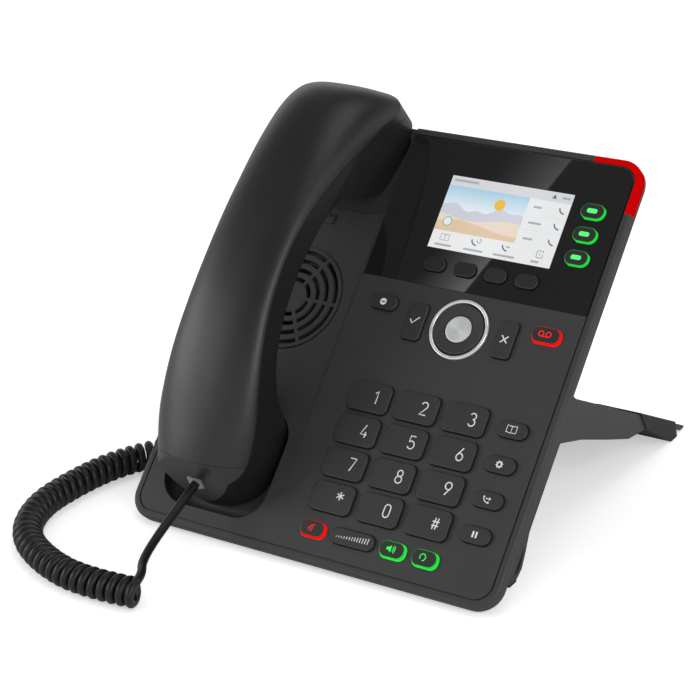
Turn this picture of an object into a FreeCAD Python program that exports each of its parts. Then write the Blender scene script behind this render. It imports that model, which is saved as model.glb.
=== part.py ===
import FreeCAD, Part
import math
import os

# Desk IP phone, millimetres.  Everything is modelled in the face frame: X to the right,
# Y up along the front face, Z straight out of it, origin at the middle of the face's
# bottom edge.  At the end each node is tilted back by TILT and set down on Z = 0.

V = FreeCAD.Vector

# ---------------------------------------------------------------- driving dimensions
TILT = 46.0            # front face above the desk, degrees
FACE_W = 190.0
FACE_L = 207.0
HALF_W = FACE_W / 2
CORNER_R = 11.5
WALL = 2.2             # moulded wall of every shell
SKIRT = 5.2            # depth of the front housing's edge
BAND = 1.3             # edge band of the rear housing below it
BAND_IN = 0.5
DESK_Z = -4.75         # desk below the face origin, in the tilted frame

RIM_W = 3.2            # rim outside the groove that runs round the face
GROOVE_W = 0.7
GROOVE_D = 0.8
RIM_R = 1.6

RIDGE_X = -21.2        # crease between the keypad plane and the cradle plane
RIDGE_Y = 23.8
CRADLE_DROP = 3.0      # depth of the cradle plane at the top edge
CRADLE_SLOPE = math.degrees(math.atan(CRADLE_DROP / (FACE_L - RIDGE_Y)))

GAP = 0.3              # running clearance beside every moving key
SEAT = 0.2             # gap at a moving piece's stop

# front window and display
WIN_Y = 133.2           # lower edge of the window; its other edges follow the rim
WIN_T = 1.2
LCD_BOX = (4.9, 67.0, 150.9, FACE_L - 19.9)
LCD_EDGE = 2.4
LCD_T = 3.6

# keys: name, x, y, width, height, corner radius, height above the face
DIAL_X = (5.2, 29.3, 53.4)
SIDE_X = 76.4
DIAL_Y = (77.4, 61.55, 45.7, 29.9)
DIAL_SIZE = (20.6, 13.6, 3.0, 1.7)
SIDE_SIZE = (14.4, 7.5, 3.7, 1.5)
SOFT_Y = 143.4
SOFT_X = (12.5, 27.9, 43.3, 58.7)
SOFT_SIZE = (11.1, 6.8, 3.3, 1.3)
FUNC_X = 77.8
FUNC_Y = (FACE_L - 26.8, FACE_L - 37.9, FACE_L - 49.0)
FUNC_SIZE = (11.2, 7.0, 3.4, 1.5)
ROW_Y = 14.8
SMALL_SIZE = (12.2, 7.2, 3.5, 1.5)
ROCKER_SIZE = (21.6, 7.4, 3.6, 1.4)
TALL_SIZE = (8.9, 17.4, 2.0, 1.5)
WIDE_SIZE = (13.5, 7.2, 3.5, 1.5)
ROCKER_DROP = 0.7      # room for the rocker's tilt above its flange
KEY_EDGE = 0.55
FLANGE_OUT = 1.1
FLANGE_T = 0.9

# navigation cluster
NAV_X = 35.3
NAV_Y = 116.0
CHROME_OUT = 14.0
CHROME_IN = 12.4
CHROME_H = 1.2
CHROME_SUNK = 1.0
NAV_OUT = 11.8
NAV_IN = 6.6
NAV_H = 1.5
NAV_FLANGE_R = 13.4
NAV_FLANGE_TOP = -3.3
NAV_FLANGE_T = 0.8
NUB_H = 0.6
NUB_R = 0.9
GIMBAL_IN = 7.7
GIMBAL_OUT = 10.4
GIMBAL_T = 1.0
DISC_R = 6.25
DISC_H = 1.2
DISC_FLANGE_R = 7.2
DISC_FLANGE_T = 0.6

# call light on the top right corner
LIGHT_X = 69.6
LIGHT_Y = FACE_L - 25.0
LIGHT_D = 3.8

# inside
BOARD_TOP = -7.2
BOARD_T = 1.6
BOARD_BOX = (-24.0, 83.0, 17.0, FACE_L - 18.0)
MAT_T = 1.0
MAT_LOW = 11.0
DOME_TOP = -4.9
DOME_R = 2.6
BACK_Z = -21.6         # rear housing's back face
TUB_IN_TOP = 5.0       # how far the tub stands in from the face's outline, front and back
TUB_IN_BACK = 9.0
TUB_WAIST = (-12.0, 6.5, 6.8)   # height, side inset and lower inset where the lower wall turns in
TUB_IN_FOOT = 17.8     # lower inset at the back, clear of the desk
BOSS_TOP_Y = FACE_L - 12.5
BOSSES = ((76.0, 20.8), (76.0, BOSS_TOP_Y), (-16.0, BOSS_TOP_Y), (-16.0, 20.8), (-77.0, 77.0))
BOSS_R = 3.4
SPIGOT_R = 2.4
BOSS_END = -15.0
SCREW_HEAD_R = 2.7
SCREW_HEAD_H = 1.8
SCREW_R = 1.4
SCREW_L = 10.0
FIT = 0.15             # static clearance round screws and jacks

# loudspeaker grille
GRILLE_X = -54.0
GRILLE_Y = 116.0
GRILLE_R = 26.0
SLOT_R = (8.6, 13.2, 17.8, 22.4)
SLOT_W = 2.1
RIB_W = 1.7
RIB_COUNT = 6
SPEAKER_TOP = -6.2
SPEAKER_R = 25.0

# cradle cups (x0, x1, y0, y1, corner radius, floor, fillet round the floor)
LOW_CUP = (-83.0, -27.5, 10.2, 62.0, 14.0, -8.0, 4.0)
TOP_CUP = (-79.2, -23.4, FACE_L - 45.0, FACE_L - 2.2, 6.0, -5.1, 1.4)
CUP_WALL = 1.4

# hook switch
HOOK_X = -54.5
HOOK_Y = FACE_L - 21.0
HOOK_W = 12.0
HOOK_L = 4.0
HOOK_RISE = 3.0
TAB_X = -52.0
TAB_Y = FACE_L - 50.6

# jack bay in the back
BAY = (-23.5, 56.0, 56.0, 98.0)
BAY_CEIL = -10.2
BAY_ROOF_T = 1.2
JACK_L = 16.0
LAN_X = (13.0, 31.5)
LAN_SIZE = (16.0, 10.6)
LAN_MOUTH = (12.0, 7.0)
RJ9_X = (-17.0, -3.5)
RJ9_SIZE = (11.0, 9.4)
RJ9_MOUTH = (8.0, 6.4)
POWER_X = 47.0
POWER_SIZE = (9.0, 10.6)
POWER_R = 3.0

# stand
ARM_OUT = 87.0
ARM_W = 25.0
ARM_T = 3.0
ARM_Y = (17.4, 104.0)
LEG_SLOPE = -29.0
LEG_T = 2.8
LEG_TOP = (87.1, 59.2)      # top of the leg where it leaves the phone's back (tilted frame)
LEG_END = 199.4
RIB_T = 2.4
HOLE_HALF = 38.0            # half width of the cable window through the leg
HOLE_Y = (96.0, 150.0)     # its ends along the leg

# handset
HX = -55.0
HANDSET_TURN = 1.3      # degrees by which the handset lies askew in its cups
SEAM_R = 130.0
SEAM_Y = 118.0
SEAM_Z = 45.0
SEAM_GAP = 0.2
SHELL = 2.2
END_TOP = (24.5, 29.0)   # slanted end face of the handset, (y, z) of its upper and lower edge
END_LOW = (12.6, 1.0)
MOUTH_Z = -7.8           # flat of the mouthpiece and of the earpiece
EAR_Z = -4.9
EAR_Y = FACE_L - 18.8
EAR_FROM = 150.0         # above this the handset's profile keeps its distance to the top edge
DRAWN_L = 207.0          # face length for which the handset's profile below is drawn
EAR_R = 10.3
EAR_SEAT = -0.7
MIC_Y = 37.5
JACK_AT = 0.48           # jack centre along that face
HJACK_SIZE = (11.0, 9.0, 13.0)
HJACK_MOUTH = (8.2, 6.8)
PLUG_SIZE = (7.6, 6.2, 11.5)
PLUG_OUT = 0.6           # length of a plug that stands out of its jack
CURVE_N = 2.4

# cord: round leads, curled stretch drawn as one tube of its outer size (tilted frame)
CORD_R = 1.7
COIL_R = 7.0
COIL_H = DESK_Z + COIL_R + 0.2
COIL_ROUTE = ((-42.5, -58.8), (-69.0, -62.5), (-97.0, -55.5), (-120.0, -41.5), (-131.5, -18.0),
              (-131.0, 7.0), (-126.5, 31.0), (-114.0, 53.0), (-91.0, 67.0), (-64.0, 69.0))
LEAD_EXIT = 26.0
LEAD_ROUTE = ((-51.0, -44.0, 8.2), (-45.0, -58.6, 5.4))
TAIL_EXIT = 16.7
TAIL_ROUTE = ((-22.0, 69.0, 25.0), (-42.0, 69.4, 5.4))


# ---------------------------------------------------------------- shape helpers
def rrect_wire(x0, x1, y0, y1, r, z):
    """Rounded rectangle in the plane at height z."""
    arcs = ((x1 - r, y1 - r, 0), (x0 + r, y1 - r, 90), (x0 + r, y0 + r, 180), (x1 - r, y0 + r, 270))
    edges = []
    ends = []
    for cx, cy, start in arcs:
        a, b, c = [math.radians(start + k) for k in (0, 45, 90)]
        p = [V(cx + r * math.cos(t), cy + r * math.sin(t), z) for t in (a, b, c)]
        edges.append(Part.Arc(*p).toShape())
        ends.append((p[0], p[2]))
    sides = []
    for k in range(4):
        start, stop = ends[k][1], ends[(k + 1) % 4][0]
        if start.distanceToPoint(stop) > 1e-4:
            sides.append(Part.makeLine(start, stop))
    return Part.Wire(Part.__sortEdges__(edges + sides))


def rrect(x0, x1, y0, y1, r, z0, z1):
    """Rounded rectangular block between heights z0 and z1."""
    return Part.Face(rrect_wire(x0, x1, y0, y1, r, z0)).extrude(V(0, 0, z1 - z0))


def pad(x, y, w, h, r, z0, z1):
    """Rounded block centred on x, y."""
    return rrect(x - w / 2, x + w / 2, y - h / 2, y + h / 2, r, z0, z1)


def disc(x, y, r, z0, z1):
    return Part.makeCylinder(r, z1 - z0, V(x, y, z0))


def tube(x, y, r0, r1, z0, z1):
    return disc(x, y, r1, z0, z1).cut(disc(x, y, r0, z0 - 1, z1 + 1))


def box(x0, x1, y0, y1, z0, z1):
    return Part.makeBox(x1 - x0, y1 - y0, z1 - z0, V(x0, y0, z0))


def profile(points, x0, x1):
    """Side outline given as (y, z) points, extruded from x0 to x1."""
    pts = [V(x0, y, z) for y, z in points]
    wire = Part.makePolygon(pts + pts[:1])
    return Part.Face(wire).extrude(V(x1 - x0, 0, 0))


def tub(inset, r, z0, z1):
    """Tapering block of the rear housing, its walls drawn in by inset."""
    a = TUB_IN_TOP + inset
    b = TUB_IN_BACK + inset
    top = rrect_wire(-HALF_W + a, HALF_W - a, a, FACE_L - a, r, z0)
    low = rrect_wire(-HALF_W + b, HALF_W - b, TUB_IN_FOOT + inset, FACE_L - b, r, z1)
    z, side, foot = TUB_WAIST
    c = side + inset
    waist = rrect_wire(-HALF_W + c, HALF_W - c, foot + inset, FACE_L - c, r, z)
    return Part.makeLoft([top, waist, low], True, True)


def round_top(shape, z, r):
    """Rounds the edges that lie wholly at height z."""
    edges = [e for e in shape.Edges if abs(e.BoundBox.ZMin - z) < 1e-4 and abs(e.BoundBox.ZMax - z) < 1e-4]
    return shape.makeFillet(r, edges)


def from_tilted(y, z):
    """Point of the tilted frame (depth, height) as (y, z) of the face frame."""
    a = math.radians(TILT)
    return (y * math.cos(a) + z * math.sin(a), -y * math.sin(a) + z * math.cos(a))


def fuse_all(shapes):
    out = shapes[0]
    for s in shapes[1:]:
        out = out.fuse(s)
    return out.removeSplitter()


def cradle_z(y):
    """Height of the cradle plane at y."""
    return -max(0.0, y - RIDGE_Y) * CRADLE_DROP / (FACE_L - RIDGE_Y)


# ---------------------------------------------------------------- keys
def key_table():
    """Name, centre, size of every plain push key."""
    names = (("key_1", "key_2", "key_3"), ("key_4", "key_5", "key_6"),
             ("key_7", "key_8", "key_9"), ("key_star", "key_0", "key_hash"))
    rows = []
    for y, group in zip(DIAL_Y, names):
        rows += [(n, x, y, DIAL_SIZE) for n, x in zip(group, DIAL_X)]
    for y, n in zip(DIAL_Y, ("directory_key", "settings_key", "transfer_key", "hold_key")):
        rows.append((n, SIDE_X, y, SIDE_SIZE))
    rows += [("soft_key_%d" % (i + 1), x, SOFT_Y, SOFT_SIZE) for i, x in enumerate(SOFT_X)]
    rows += [("function_key_%d" % (i + 1), FUNC_X, y, FUNC_SIZE) for i, y in enumerate(FUNC_Y)]
    rows.append(("dnd_key", -4.9, 121.6, WIDE_SIZE))
    rows.append(("retrieve_key", 76.4, 121.2, WIDE_SIZE))
    rows.append(("confirm_key", 13.4, 115.5, TALL_SIZE))
    rows.append(("cancel_key", 58.5, 115.6, TALL_SIZE))
    rows.append(("mute_key", 1.05, ROW_Y, SMALL_SIZE))
    rows.append(("speaker_key", 41.5, ROW_Y, SMALL_SIZE))
    rows.append(("headset_key", 57.4, ROW_Y, SMALL_SIZE))
    return rows


ROCKER = ("volume_rocker", 21.6, ROW_Y, ROCKER_SIZE)


def push_key(x, y, size, drop):
    """Key cap with a retaining flange drop below the housing's inner face."""
    w, h, r, up = size
    top = -WALL - drop
    cap = round_top(pad(x, y, w, h, r, top - FLANGE_T, up), up, KEY_EDGE)
    flange = pad(x, y, w + 2 * FLANGE_OUT, h + 2 * FLANGE_OUT, r + 0.5, top - FLANGE_T, top)
    return cap.fuse(flange)


def key_hole(x, y, size, z0, z1):
    w, h, r, up = size
    return pad(x, y, w + 2 * GAP, h + 2 * GAP, r + GAP, z0, z1)


# ---------------------------------------------------------------- navigation cluster
def nav_chrome_ring():
    ring = tube(NAV_X, NAV_Y, CHROME_IN, CHROME_OUT, -CHROME_SUNK, CHROME_H)
    return round_top(ring, CHROME_H, 0.5)


def nav_ring():
    low = NAV_FLANGE_TOP - NAV_FLANGE_T
    body = disc(NAV_X, NAV_Y, NAV_OUT, low, NAV_H)
    body = round_top(body, NAV_H, 0.7)
    dish = Part.makeCone(DISC_R + 0.6, NAV_OUT - 0.8, 0.5, V(NAV_X, NAV_Y, NAV_H - 0.5))
    body = body.cut(dish).fuse(disc(NAV_X, NAV_Y, NAV_FLANGE_R, low, NAV_FLANGE_TOP))
    nubs = [disc(NAV_X, NAV_Y + s * 9.0, NUB_R, low - NUB_H, low) for s in (-1, 1)]
    return fuse_all([body] + nubs).cut(disc(NAV_X, NAV_Y, NAV_IN, low - 1, NAV_H + 1))


def nav_pivot():
    top = NAV_FLANGE_TOP - NAV_FLANGE_T - NUB_H - SEAT
    return tube(NAV_X, NAV_Y, GIMBAL_IN, GIMBAL_OUT, top - GIMBAL_T, top)


def nav_centre_button():
    top = NAV_FLANGE_TOP - NAV_FLANGE_T - SEAT
    body = round_top(disc(NAV_X, NAV_Y, DISC_R, top - DISC_FLANGE_T, DISC_H), DISC_H, 0.3)
    return body.fuse(disc(NAV_X, NAV_Y, DISC_FLANGE_R, top - DISC_FLANGE_T, top))


# ---------------------------------------------------------------- front housing
def cradle_wedge(below):
    """Everything above the cradle plane lowered by below, left of the crease."""
    a = math.radians(CRADLE_SLOPE)
    far = 60.0
    y1, z1 = FACE_L + far * math.cos(a), -CRADLE_DROP - far * math.sin(a)
    pts = ((RIDGE_Y, -below), (y1, z1 - below), (y1, 20.0), (RIDGE_Y, 20.0))
    return profile(pts, -HALF_W - 5.0, RIDGE_X - (WALL if below else 0.0))


def face_plate():
    """Rimmed plate with its skirt, sloped on the cradle side, hollow behind."""
    body = round_top(rrect(-HALF_W, HALF_W, 0, FACE_L, CORNER_R, -SKIRT, 0), 0, RIM_R)
    groove = rrect(-HALF_W + RIM_W, HALF_W - RIM_W, RIM_W, FACE_L - RIM_W, CORNER_R - RIM_W,
                   -GROOVE_D, 1)
    inset = RIM_W + GROOVE_W
    groove = groove.cut(rrect(-HALF_W + inset, HALF_W - inset, inset, FACE_L - inset,
                              CORNER_R - inset, -GROOVE_D - 1, 2))
    body = body.cut(groove).cut(cradle_wedge(0.0))
    cavity = rrect(-HALF_W + WALL, HALF_W - WALL, WALL, FACE_L - WALL, CORNER_R - WALL,
                   -SKIRT - 1, -WALL)
    keep = cavity.common(cradle_wedge(0.0).fuse(cradle_wedge_wall()))
    return body.cut(cavity.cut(keep))


def cradle_wedge_wall():
    """The wall that stays under the cradle plane."""
    a = math.radians(CRADLE_SLOPE)
    far = 20.0
    y1, z1 = FACE_L + far * math.cos(a), -CRADLE_DROP - far * math.sin(a)
    pts = ((RIDGE_Y - 1.0, -WALL), (RIDGE_Y, -WALL), (y1, z1 - WALL), (y1, 5.0), (RIDGE_Y - 1.0, 5.0))
    return profile(pts, -HALF_W - 5.0, RIDGE_X + WALL)


def cup_block(cup):
    x0, x1, y0, y1, r, floor = cup[:6]
    w = CUP_WALL
    return rrect(x0 - w, x1 + w, y0 - w, y1 + w, r + w, floor - w, -WALL - 0.2)


def cup_hollow(cup):
    x0, x1, y0, y1, r, floor, fillet = cup
    hollow = rrect(x0, x1, y0, y1, r, floor, 3.0)
    edges = [e for e in hollow.Edges if e.BoundBox.ZMax < floor + 0.01]
    return hollow.makeFillet(fillet, edges)


def grille_slots():
    rings = [tube(GRILLE_X, GRILLE_Y, r - SLOT_W / 2, r + SLOT_W / 2, -8.0, 1.0) for r in SLOT_R]
    slots = Part.makeCompound(rings)
    for k in range(RIB_COUNT):
        rib = box(0, GRILLE_R, -RIB_W / 2, RIB_W / 2, -9.0, 2.0)
        rib.rotate(V(0, 0, 0), V(0, 0, 1), k * 360.0 / RIB_COUNT)
        rib.translate(V(GRILLE_X, GRILLE_Y, 0))
        slots = slots.cut(rib)
    return slots


def grille_groove():
    depth = -cradle_z(GRILLE_Y) + 0.9
    return tube(GRILLE_X, GRILLE_Y, GRILLE_R - 0.8, GRILLE_R, -depth, 1.0)


def housing_bosses():
    out = []
    for x, y in BOSSES:
        out.append(disc(x, y, BOSS_R, BOARD_TOP, -WALL + 0.01))
        out.append(disc(x, y, SPIGOT_R, BOSS_END, BOARD_TOP))
    return out


def speaker_collar():
    collar = tube(GRILLE_X, GRILLE_Y, SPEAKER_R - 1.0, SPEAKER_R + 2.0, SPEAKER_TOP, -1.0)
    return collar.cut(cradle_wedge(0.5))


def light_region(d):
    """The stretch of rim taken by the call light, cut down to depth d."""
    outer = rrect(-HALF_W - 1, HALF_W + 1, -1, FACE_L + 1, CORNER_R, -d, 2)
    inner = rrect(-HALF_W + RIM_W, HALF_W - RIM_W, RIM_W, FACE_L - RIM_W, CORNER_R - RIM_W, -d - 1, 3)
    return outer.cut(inner).common(box(LIGHT_X, HALF_W + 2, LIGHT_Y, FACE_L + 2, -d, 2))


def window_outline(r, z0, z1, shrink):
    inset = RIM_W + GROOVE_W
    x1 = HALF_W - inset - shrink
    y1 = FACE_L - inset - shrink
    body = rrect(RIDGE_X + shrink, x1, WIN_Y + shrink, y1, r, z0, z1)
    x0 = RIDGE_X + shrink
    y0 = WIN_Y + shrink
    body = body.fuse(box(x0, x0 + 20, y0, y1, z0, z1))
    return body.fuse(box(x0, x1, y0, y0 + 20, z0, z1)).removeSplitter()


def hook_slot(g):
    return pad(HOOK_X, HOOK_Y, HOOK_W + 2 * g, HOOK_L + 2 * g, 1.0, -14.0, 1.0)


def hang_tab():
    """Small reversible tab that would hold the handset on a wall."""
    base = cradle_z(TAB_Y)
    plate = pad(TAB_X, TAB_Y, 9.0, 5.0, 1.0, base - 1.2, base + 0.9)
    lip = pad(TAB_X, TAB_Y + 1.4, 5.0, 1.4, 0.4, base, base + 2.0)
    return plate.fuse(lip)


def front_housing():
    body = face_plate()
    solids = [cup_block(LOW_CUP), cup_block(TOP_CUP), speaker_collar()] + housing_bosses()
    limit = rrect(-HALF_W + WALL, HALF_W - WALL, WALL, FACE_L - WALL, CORNER_R - WALL, -30, 0)
    for s in solids:
        body = body.fuse(s.common(limit))
    body = body.cut(cup_hollow(LOW_CUP)).cut(cup_hollow(TOP_CUP))
    body = body.cut(grille_slots()).cut(grille_groove()).cut(light_region(LIGHT_D))
    body = body.cut(window_outline(CORNER_R - RIM_W, -WIN_T, 1, 0.0))
    x0, x1, y0, y1 = LCD_BOX
    body = body.cut(box(x0 - 1, x1 + 1, y0 - 1, y1 + 1, -4, 1))
    for name, x, y, size in key_table() + [ROCKER]:
        body = body.cut(key_hole(x, y, size, -5.0, 1.0))
    body = body.cut(disc(NAV_X, NAV_Y, CHROME_OUT + 0.05, -CHROME_SUNK, 1))
    body = body.cut(disc(NAV_X, NAV_Y, CHROME_IN, -5, 1)).cut(hook_slot(GAP))
    body = body.cut(pad(TAB_X, TAB_Y, 9.0, 5.0, 1.0, cradle_z(TAB_Y) - 1.2, 1))
    for x, y in BOSSES:
        body = body.cut(disc(x, y, SCREW_R + FIT, BOSS_END - 1, -4.4))
    return body.removeSplitter()


def display_window():
    pane = window_outline(CORNER_R - RIM_W, -WIN_T, 0.0, 0.15)
    for name, x, y, size in key_table():
        if y > WIN_Y:
            pane = pane.cut(key_hole(x, y, size, -3, 2))
    return pane


def lcd_module():
    """Glass and metal can behind the window, seated on the housing's inner face."""
    x0, x1, y0, y1 = LCD_BOX
    glass = box(x0, x1, y0, y1, -WALL, -WIN_T)
    e = LCD_EDGE
    return glass.fuse(box(x0 - e, x1 + e, y0 - e, y1 + e, -WALL - LCD_T, -WALL))


def call_light():
    plate = round_top(rrect(-HALF_W, HALF_W, 0, FACE_L, CORNER_R, -SKIRT, 0), 0, RIM_R)
    return plate.common(light_region(LIGHT_D))


# ---------------------------------------------------------------- inside parts
def main_board():
    x0, x1, y0, y1 = BOARD_BOX
    low = BOARD_TOP - BOARD_T
    board = box(x0, x1, y0, y1, low, BOARD_TOP)
    for x, y in BOSSES:
        board = board.cut(disc(x, y, SPIGOT_R + GAP, low - 1, BOARD_TOP + 1))
    posts_top = NAV_FLANGE_TOP - NAV_FLANGE_T - NUB_H - GIMBAL_T - 2 * SEAT
    for s in (-1, 1):
        board = board.fuse(disc(NAV_X + s * 9.0, NAV_Y, NUB_R, BOARD_TOP, posts_top))
    chips = ((20, 22, 14, 14), (62, 66, 10, 8), (60, 36, 9, 12), (-6, 34, 12, 9))
    for x, y, w, h in chips:
        board = board.fuse(box(x, x + w, y, y + h, low - 1.2, low))
    return board.removeSplitter()


def keypad_mat():
    """Silicone mat on the board with one dome below each key."""
    x0, x1, y0, y1 = BOARD_BOX
    sheet = box(x0 + 12, x1 - 1, MAT_LOW, y1 - 1, BOARD_TOP, BOARD_TOP + MAT_T)
    for x, y in BOSSES:
        sheet = sheet.cut(disc(x, y, BOSS_R + GAP, BOARD_TOP - 1, 0))
    sheet = sheet.cut(disc(NAV_X, NAV_Y, NAV_FLANGE_R + 1.5, BOARD_TOP - 1, 0))
    for name, x, y, size in key_table():
        sheet = sheet.fuse(disc(x, y, DOME_R, BOARD_TOP + MAT_T - 0.2, DOME_TOP))
    name, x, y, size = ROCKER
    post = -WALL - ROCKER_DROP - FLANGE_T - SEAT
    return sheet.fuse(pad(x, y, 1.6, 5.0, 0.7, BOARD_TOP + MAT_T - 0.2, post))


def loudspeaker():
    frame = tube(GRILLE_X, GRILLE_Y, 18.0, SPEAKER_R, SPEAKER_TOP - 1.5, SPEAKER_TOP)
    basket = Part.makeCone(9.0, 20.0, 6.0, V(GRILLE_X, GRILLE_Y, SPEAKER_TOP - 7.5))
    cone = Part.makeCone(3.0, 19.0, 5.0, V(GRILLE_X, GRILLE_Y, SPEAKER_TOP - 5.0))
    magnet = disc(GRILLE_X, GRILLE_Y, 11.0, SPEAKER_TOP - 12.0, SPEAKER_TOP - 6.5)
    cap = Part.makeSphere(4.0, V(GRILLE_X, GRILLE_Y, SPEAKER_TOP - 6.0))
    cap = cap.common(disc(GRILLE_X, GRILLE_Y, 5, SPEAKER_TOP - 6.0, SPEAKER_TOP))
    return fuse_all([frame, basket.cut(cone), magnet, cap])


def hook_switch():
    """Plunger held down by the handset's earpiece."""
    top = TOP_CUP[5]
    stem = pad(HOOK_X, HOOK_Y, HOOK_W, HOOK_L, 0.9, top - 6.0 - HOOK_RISE, top)
    stem = round_top(stem, top, 0.4)
    low = top - CUP_WALL - SEAT - HOOK_RISE
    return stem.fuse(pad(HOOK_X, HOOK_Y, HOOK_W + 4, HOOK_L + 3, 1.0, low - 1.5, low))


def jack(x, size, top, mouth):
    """Socket body behind the bay wall, open toward the bay."""
    w, h = size
    y0 = BAY[3]
    body = box(x - w / 2, x + w / 2, y0, y0 + JACK_L, top - h, top)
    mw, mh = mouth
    mid = top - h / 2
    body = body.cut(box(x - mw / 2, x + mw / 2, y0 - 1, y0 + 12, mid - mh / 2, mid + mh / 2))
    return body.cut(box(x - 2.2, x + 2.2, y0 - 1, y0 + 8, mid - mh / 2 - 1.2, mid))


def line_jacks():
    """Two network sockets and the smaller handset and headset sockets."""
    top = BOARD_TOP - BOARD_T
    bodies = [jack(x, LAN_SIZE, top, LAN_MOUTH) for x in LAN_X]
    return Part.makeCompound(bodies + [jack(x, RJ9_SIZE, top, RJ9_MOUTH) for x in RJ9_X])


def power_jack():
    w, h = POWER_SIZE
    top = BOARD_TOP - BOARD_T
    body = box(POWER_X - w / 2, POWER_X + w / 2, BAY[3], BAY[3] + 14, top - h, top)
    axis = V(0, 1, 0)
    mid = top - h / 2
    hole = Part.makeCylinder(POWER_R, 11.0, V(POWER_X, BAY[3] - 1, mid), axis)
    pin = Part.makeCylinder(0.9, 9.0, V(POWER_X, BAY[3] + 1.5, mid), axis)
    return body.cut(hole).fuse(pin)


def jack_windows():
    top = BOARD_TOP - BOARD_T
    rows = [(x, LAN_SIZE) for x in LAN_X] + [(x, RJ9_SIZE) for x in RJ9_X] + [(POWER_X, POWER_SIZE)]
    out = []
    for x, (w, h) in rows:
        hw = w / 2 + FIT
        out.append(box(x - hw, x + hw, BAY[3], BAY[3] + WALL + 1, top - h - FIT, top + FIT))
    return out


# ---------------------------------------------------------------- rear housing
def rear_housing():
    z0 = -SKIRT - BAND
    outer = tub(0.0, CORNER_R, z0, BACK_Z)
    b = BAND_IN
    band = rrect(-HALF_W + b, HALF_W - b, b, FACE_L - b, CORNER_R - b, z0, -SKIRT)
    inner = tub(WALL, CORNER_R - WALL, z0, BACK_Z + WALL)
    mouth = TUB_IN_TOP + WALL
    inner = inner.fuse(rrect(-HALF_W + mouth, HALF_W - mouth, mouth, FACE_L - mouth, CORNER_R - WALL,
                             z0, 0.0))
    body = outer.fuse(band).cut(inner)
    x0, x1, y0, y1 = BAY
    w = WALL
    shell = box(x0 - w, x1 + w, y0 - w, y1 + w, BACK_Z, BAY_CEIL + BAY_ROOF_T)
    body = body.fuse(shell).cut(box(x0, x1, y0, y1, BACK_Z - 1, BAY_CEIL))
    for tool in jack_windows():
        body = body.cut(tool)
    for x, y in BOSSES:
        body = body.fuse(disc(x, y, 4.6, BACK_Z + 1, BOSS_END))
        body = body.cut(disc(x, y, SCREW_HEAD_R + GAP, BACK_Z - 1, BOSS_END - 2.6))
        body = body.cut(disc(x, y, SCREW_R + GAP, BACK_Z - 1, BOSS_END + 1))
    body = body.cut(cup_block(TOP_CUP))
    for k in range(7):
        body = body.cut(pad(0, 118.0 + 7 * k, 60.0, 2.4, 1.1, BACK_Z - 1, BACK_Z + WALL + 1))
    return body.removeSplitter()


def housing_screws():
    out = []
    head = BOSS_END - 2.6
    for x, y in BOSSES:
        screw = disc(x, y, SCREW_HEAD_R, head - SCREW_HEAD_H, head)
        screw = screw.fuse(disc(x, y, SCREW_R, head, head + SCREW_L))
        slot = box(x - 0.4, x + 0.4, y - 1.8, y + 1.8, head - SCREW_HEAD_H, head - SCREW_HEAD_H + 0.9)
        cross = box(x - 1.8, x + 1.8, y - 0.4, y + 0.4, head - SCREW_HEAD_H, head - SCREW_HEAD_H + 0.9)
        out.append(screw.cut(slot).cut(cross))
    return Part.makeCompound(out)


# ---------------------------------------------------------------- stand
def leg_line(depth, below):
    """Point under the leg's top line at a depth of the tilted frame."""
    slope = math.tan(math.radians(LEG_SLOPE))
    return from_tilted(depth, LEG_TOP[1] + (depth - LEG_TOP[0]) * slope - below)


def stand_leg():
    t = LEG_T / math.cos(math.radians(LEG_SLOPE))
    pts = (leg_line(LEG_TOP[0] - 2.5, 0), leg_line(LEG_END, 0), leg_line(LEG_END, t),
           leg_line(LEG_TOP[0] - 2.5, t))
    return profile(pts, -ARM_OUT, ARM_OUT)


def stand_rib():
    """Side outline of the flange that stiffens the leg."""
    edge = ((72.0, 43.7), (94.5, 35.9), (119.0, 25.0), (140.6, 15.8), (150.0, 14.4), (157.0, 13.8))
    pts = [leg_line(LEG_TOP[0] - 2.5, 0), leg_line(160.0, 0)]
    return pts + [from_tilted(y, z) for y, z in reversed(edge)]


FOOT_OUT = ((17.4, -23.1), (22.1, -27.95), (27.0, -29.2), (33.6, -27.6), (41.8, -24.8), (52.0, -21.9),
            (17.4, -21.9))
FOOT_IN = ((20.6, -23.2), (23.6, -26.0), (27.4, -27.0), (33.0, -25.6), (39.0, -23.6), (39.0, -22.9),
           (20.6, -22.9))
FOOT_X = 12.0


def stand():
    back = BACK_Z - 0.1
    y0, y1 = ARM_Y
    leg = stand_leg()
    h0, h1 = HOLE_Y
    cable = (leg_line(h0, -5), leg_line(h1, -5), leg_line(h1, 12), leg_line(h0, 12))
    body = leg.cut(profile(cable, -HOLE_HALF, HOLE_HALF))
    for s in (-1, 1):
        xa, xb = sorted((s * ARM_OUT, s * (ARM_OUT - ARM_W)))
        body = body.fuse(box(xa, xb, y0, y1, back - ARM_T, back))
        ra, rb = sorted((s * ARM_OUT, s * (ARM_OUT - RIB_T)))
        body = body.fuse(profile(stand_rib(), ra, rb))
        ra, rb = sorted((s * (ARM_OUT - ARM_W), s * (ARM_OUT - ARM_W + RIB_T)))
        body = body.fuse(profile(stand_rib(), ra, rb))
        fa, fb = sorted((s * ARM_OUT, s * (ARM_OUT - FOOT_X)))
        foot = profile(FOOT_OUT, fa, fb).cut(profile(FOOT_IN, fa - 1, fb + 1))
        body = body.fuse(foot)
    body = body.cut(box(-100, 100, -20, 120, back, 10))
    return body.cut(below_desk(0.8)).removeSplitter()


def below_desk(lift):
    """Half space under the desk, raised by lift."""
    z = DESK_Z + lift
    pts = [from_tilted(*p) for p in ((-60, z), (260, z), (260, z - 60), (-60, z - 60))]
    return profile(pts, -120, 120)


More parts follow.
